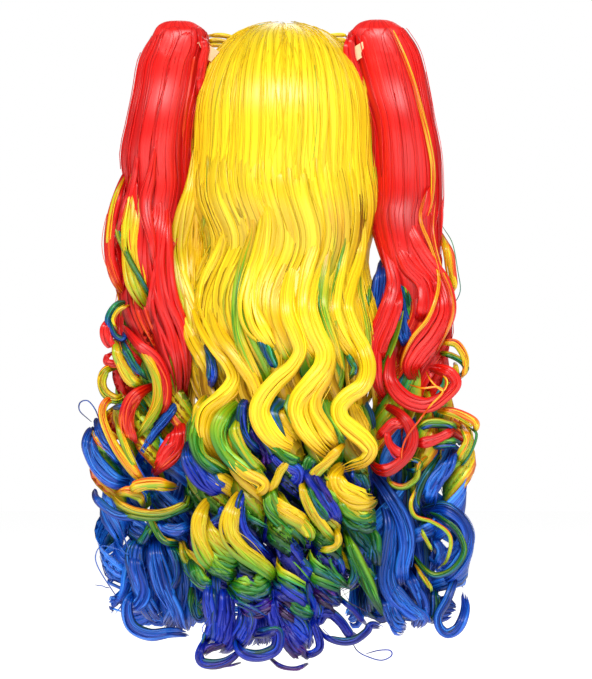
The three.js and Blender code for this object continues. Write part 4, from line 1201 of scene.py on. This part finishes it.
def fan_lock(sign, place, seed, rows=30):
    """Lock of the full blue end of a ponytail: from its middle at 390 mm down, spread by its place across the tail
    to an even edge, in slack waves, with a tip that flicks aside and up. The right end is greener and deeper."""
    rng = np.random.default_rng(seed)
    t = np.linspace(0, 1, rows)
    top, low = 105 + rng.uniform(-14, 14), 104 + 36 * place
    x = top + (low - top) * smooth(t, 0.0, 0.8) + 6 * t * np.sin(CIRCLE * (1.5 * t + rng.uniform()))
    y = TAIL_BACK + rng.uniform(-12, 20) * smooth(t, -0.6, 0.6)
    y = y + 5 * t * np.cos(CIRCLE * (1.5 * t + rng.uniform()))
    x = x + rng.uniform(12, 30) * rng.choice((-1, 1)) * smooth(t, 0.74, 1.05)
    z = -390 - t * rng.uniform(172, 192) + 34 * smooth(t, 0.8, 1.08)
    path = np.stack([sign * x, y, z], -1) * MM
    outward = level(2.2 * rng.uniform(-1, 1) * t + rng.uniform(-0.5, 0.5))
    width, thick = rng.uniform(7, 11) * MM * taper(rows, 0.15, 0.1, 0.5), 1.8 * MM * taper(rows, 0.15, 0.1)
    dye = 0.76 - 0.09 * sign + 0.16 * t + rng.uniform(-0.08, 0.08)
    tone = rng.uniform(0.78, 1.06) - 0.08 * sign
    made = bundle(path, outward, width, thick, dye, seed, 7, 0.05, tone,
                  ends=0.05, loose=0.35, mixed=0.25, sides=4)
    return made + strays(path, outward, width, dye, seed, 2)


def tail_form(name):
    """Rows of height, middle and half width, in mm, down the smooth upper length of a ponytail."""
    return through(TAIL_BODY[name], np.linspace(0, 1, TAIL_ROWS)).T


def tail_deep(height, half, top):
    """Half depth of that length: its half width, no more than the ponytail's depth, rounded off over its top."""
    return np.minimum(half, TAIL_DEEP) * np.clip((top + 0.5 - height) / TAIL_ROUND, 0, 1) ** 0.4


def tail_phase(height):
    """Angle of the sway of that length at a height, a turn to each 110 mm."""
    return CIRCLE * (height + 90) / TAIL_SWAY_LONG


def tail_face(name, proud, x, drop):
    """Depth in mm of the near face of a ponytail's body, or a little proud of it, at a place across and a drop."""
    height, middle, half = tail_form(name)
    middle, half = np.interp(drop, -height, middle), np.maximum(np.interp(drop, -height, half), 18)
    share = np.clip((x - middle) / half, -0.96, 0.96)
    swayed = 1 + proud - TAIL_BACK + TAIL_SWAY * np.cos(tail_phase(-drop))
    return swayed + tail_deep(-drop, half, height[0]) * np.sqrt(1 - share**2)


def tail_body(name, seed, around=44, flats=26):
    """Smooth upper length of a ponytail: level ovals down its rows, which sway by 4 mm times the cosine of their
    phase and are darkened as painted shade below 40 mm and more where its sine is above zero, and thin flat locks
    laid on them."""
    rng = np.random.default_rng(seed)
    height, middle, half = tail_form(name)
    path = np.stack([middle, TAIL_BACK - TAIL_SWAY * np.cos(tail_phase(height)), height], -1) * MM
    half, deep = half * MM, tail_deep(height, half, height[0]) * MM
    dye = np.interp(-height, *TAIL_DYE_RUN.T) + 0.02
    # Painted shade: the tone darkens down the length and more in the folds where the sway's sine is above zero.
    painted_fold_shade = np.maximum(np.sin(tail_phase(height)), 0)
    tone = 1 - (0.08 + 0.16 * painted_fold_shade) * smooth(-height, 40, 130)
    angle = np.arange(around) * 2 * np.pi / around
    c, s, ones = np.cos(angle), np.sin(angle), np.ones((TAIL_ROWS, around))
    points = path[:, None] - np.stack([np.outer(half, c), np.outer(deep, s), 0 * ones], -1)
    strand = np.stack([ones * c * TAIL_WIDE * MM, ones * s * TAIL_DEEP * MM, -path[:, 2:] * ones], -1)
    made = [{"points": points, "strand": strand, "fade": dye[:, None], "tone": tone[:, None]}]
    for k in range(flats):
        a = np.radians(360 * k / flats + rng.uniform(-6, 6))
        part = slice(int(rng.integers(16, 24)), int(rng.integers(48, 70)))
        lean = a + rng.uniform(-0.25, 0.25) * np.linspace(-1, 1, TAIL_ROWS)[part]
        out, n = level(lean), len(lean)
        lift = np.stack([half[part], deep[part], 0 * lean], -1) + rng.uniform(0.1, 0.45) * MM
        wide, tint = rng.uniform(4, 8) * MM * taper(n, 0.15, 0.35), rng.uniform(-0.02, 0.1)
        line, thick = path[part] + out * lift, 0.36 * MM * taper(n, 0.2, 0.2)
        shade = tone[part] * rng.uniform(0.8, 1.03)
        made.append(lock(line, out, wide, thick, dye[part] + tint, seed + k, 8, shade))
        made += strays(line, out, wide, dye[part], seed + k, 1, 0.5)
    return made


def ponytail(name, sign, column, seed):
    """The smooth body, its root at the clip, short and long ringlets with their companions, the full end and the
    drawn curls."""
    rng = np.random.default_rng(seed)
    grow = partial(tail_lock, sign, column)
    made = tail_body(name, seed)
    for face in np.arange(0, 360, 45):
        made += grow(face, 0.02, 0.2, (0.3, 0.25), 0.0, 6, 7, 0.0, 0, next_seed(rng),
                     tone=0.9, count=2, loose=0, top=7)
    for face in np.arange(70, 300, 33):
        made += grow(
            face + rng.uniform(-6, 6), 0.4, rng.uniform(0.66, 0.8), (0.7, 0.7), rng.uniform(0, 0.6),
            rng.uniform(8, 12), rng.uniform(5, 8), rng.uniform(0, 0.2), 0.08, next_seed(rng),
            tone=rng.uniform(0.96, 1.0), count=3, loose=2, top=11,
        )
    slack, part, sooner, slope = COMPANIONS[0][1:]
    for face, end, phase, coil, wide, early, reach in TAIL_LOCKS:
        wide = wide * 0.8
        made += grow(face, 0.5, end, (0.5, reach), phase, coil, wide, early, 0.14, next_seed(rng),
                     tone=1.0, count=5, loose=2, top=13)
        made += grow(
            face + rng.uniform(-14, 14), 0.48, end - rng.uniform(0, 0.06), (0.5, reach - 0.1), phase + 0.5,
            coil + slack, wide * part, early + sooner, slope, next_seed(rng),
            tone=0.97, count=3, loose=1, top=9,
        )
    for place in np.linspace(-1, 1, 9):
        made += fan_lock(sign, place, next_seed(rng))
    for row in TAIL_CURLS[name]:
        depth = row[1]
        leave = (200, 262) if depth > 38 else (0, 1)
        on = partial(tail_face, name, max(depth - 46, 0) * 0.5)
        made += drawn_lock(row, next_seed(rng), on, leave, base=0.0)
    return made


tail_finish = hair_finish("tail hair", TAIL_DYE, streaks)
for column, (name, sign) in enumerate(SIDES.items(), 1):
    locks = ponytail(name, sign, column, 80 + column)
    show_piece(f"tail_locks_{name}", locks, tail_finish, f"{name}_ponytail")


# Clips, left and right
# Plain rounded clips that grip the crown hair under each ponytail, shown by their own solids.
# Cream plastic, moulded in one colour with faint flow marks and fine pits.
CLIP_CREAM, CLIP_FLOW = (246, 199, 154), (236, 182, 132)


def clip_finish():
    """Smooth plastic: two creams mixed by a warped noise, which also roughens it, and a finer noise for pits."""
    finish, t, shader = new_finish("clip plastic")
    place = node(t, "ShaderNodeTexCoord")["Object"]
    marks = {"Vector": place, "Scale": 160.0, "Detail": 3.0, "Distortion": 1.5}
    flow = node(t, "ShaderNodeTexNoise", marks)["Fac"]
    shades = {"Factor": flow, "A": dyed(*CLIP_CREAM), "B": dyed(*CLIP_FLOW)}
    pitted = node(t, "ShaderNodeTexNoise", {"Vector": place, "Scale": 1500.0, "Detail": 2.0})["Fac"]
    pits = node(t, "ShaderNodeBump", {"Height": pitted, "Strength": 0.15, "Distance": 0.2 * MM})
    feed(t, shader, {
        "Base Color": node(t, "ShaderNodeMix", shades, data_type="RGBA")["Result"],
        "Roughness": mapped(t, flow, 0.28, 0.5),
        "Normal": pits["Normal"],
    })
    return finish


cream = clip_finish()
for name in SIDES:
    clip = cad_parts[f"{name}_clip"]
    clip.data.materials.clear()
    clip.data.materials.append(cream)


# Floor, light and camera
# A pale floor under the tips and a white surround.
# One large soft light above, two weak ones beside and beyond, and a level camera behind the wig.
FLOOR, WHITE = -0.64, (1, 1, 1, 1)
bpy.ops.mesh.primitive_circle_add(vertices=96, radius=6, fill_type="NGON", location=(0, 0, FLOOR))
floor = bpy.context.object
floor_finish, floor_tree, floor_shader = new_finish("pale floor")
feed(floor_tree, floor_shader, {
    "Base Color": (0.96, 0.96, 0.96, 1),
    "Emission Color": WHITE,
    "Emission Strength": 0.7,
    "Roughness": 0.9,
})
floor.data.materials.append(floor_finish)

world = bpy.data.worlds.new("white surround")
world.use_nodes = True
sky = world.node_tree
seen = node(sky, "ShaderNodeLightPath")["Is Camera Ray"]
feed(sky, sky.nodes["Background"], {"Color": WHITE, "Strength": mapped(sky, seen, 0.28, 1.0)})
bpy.context.scene.world = world


def soft_light(name, place, aim, wide, high, power):
    """Oblong area light, its sizes in metres, that looks from its place to its aim."""
    lamp = bpy.data.lights.new(name, "AREA")
    lamp.shape, lamp.size, lamp.size_y, lamp.energy = "RECTANGLE", wide, high, power
    light = bpy.data.objects.new(name, lamp)
    light.location = place
    light.rotation_euler = (Vector(aim) - Vector(place)).to_track_quat("-Z", "Y").to_euler()
    bpy.context.collection.objects.link(light)


soft_light("key", (-0.15, -2.1, 1.3), (0, 0, -0.25), 2.0, 0.5, 64)
soft_light("fill", (1.7, -1.6, 0.2), (0, 0, -0.3), 1.2, 1.2, 6)
soft_light("far side", (0.4, 2.2, 1.2), (0, 0, -0.25), 1.2, 1.2, 12)

PHOTO_SCALE, PHOTO_HIGH = 0.927 * MM, 679
SENSOR, CAMERA_AWAY, HAIR_FACE = 36, 5.0, -0.06
lens = bpy.data.cameras.new("camera")
camera = bpy.data.objects.new("camera", lens)
bpy.context.collection.objects.link(camera)
camera.location = (0.012, HAIR_FACE - CAMERA_AWAY, -0.289)
camera.rotation_euler = (np.pi / 2, 0, 0)
lens.sensor_width = SENSOR
lens.lens = SENSOR * CAMERA_AWAY / (PHOTO_SCALE * PHOTO_HIGH)
bpy.context.scene.camera = camera
bpy.context.scene.view_settings.view_transform = "Standard"
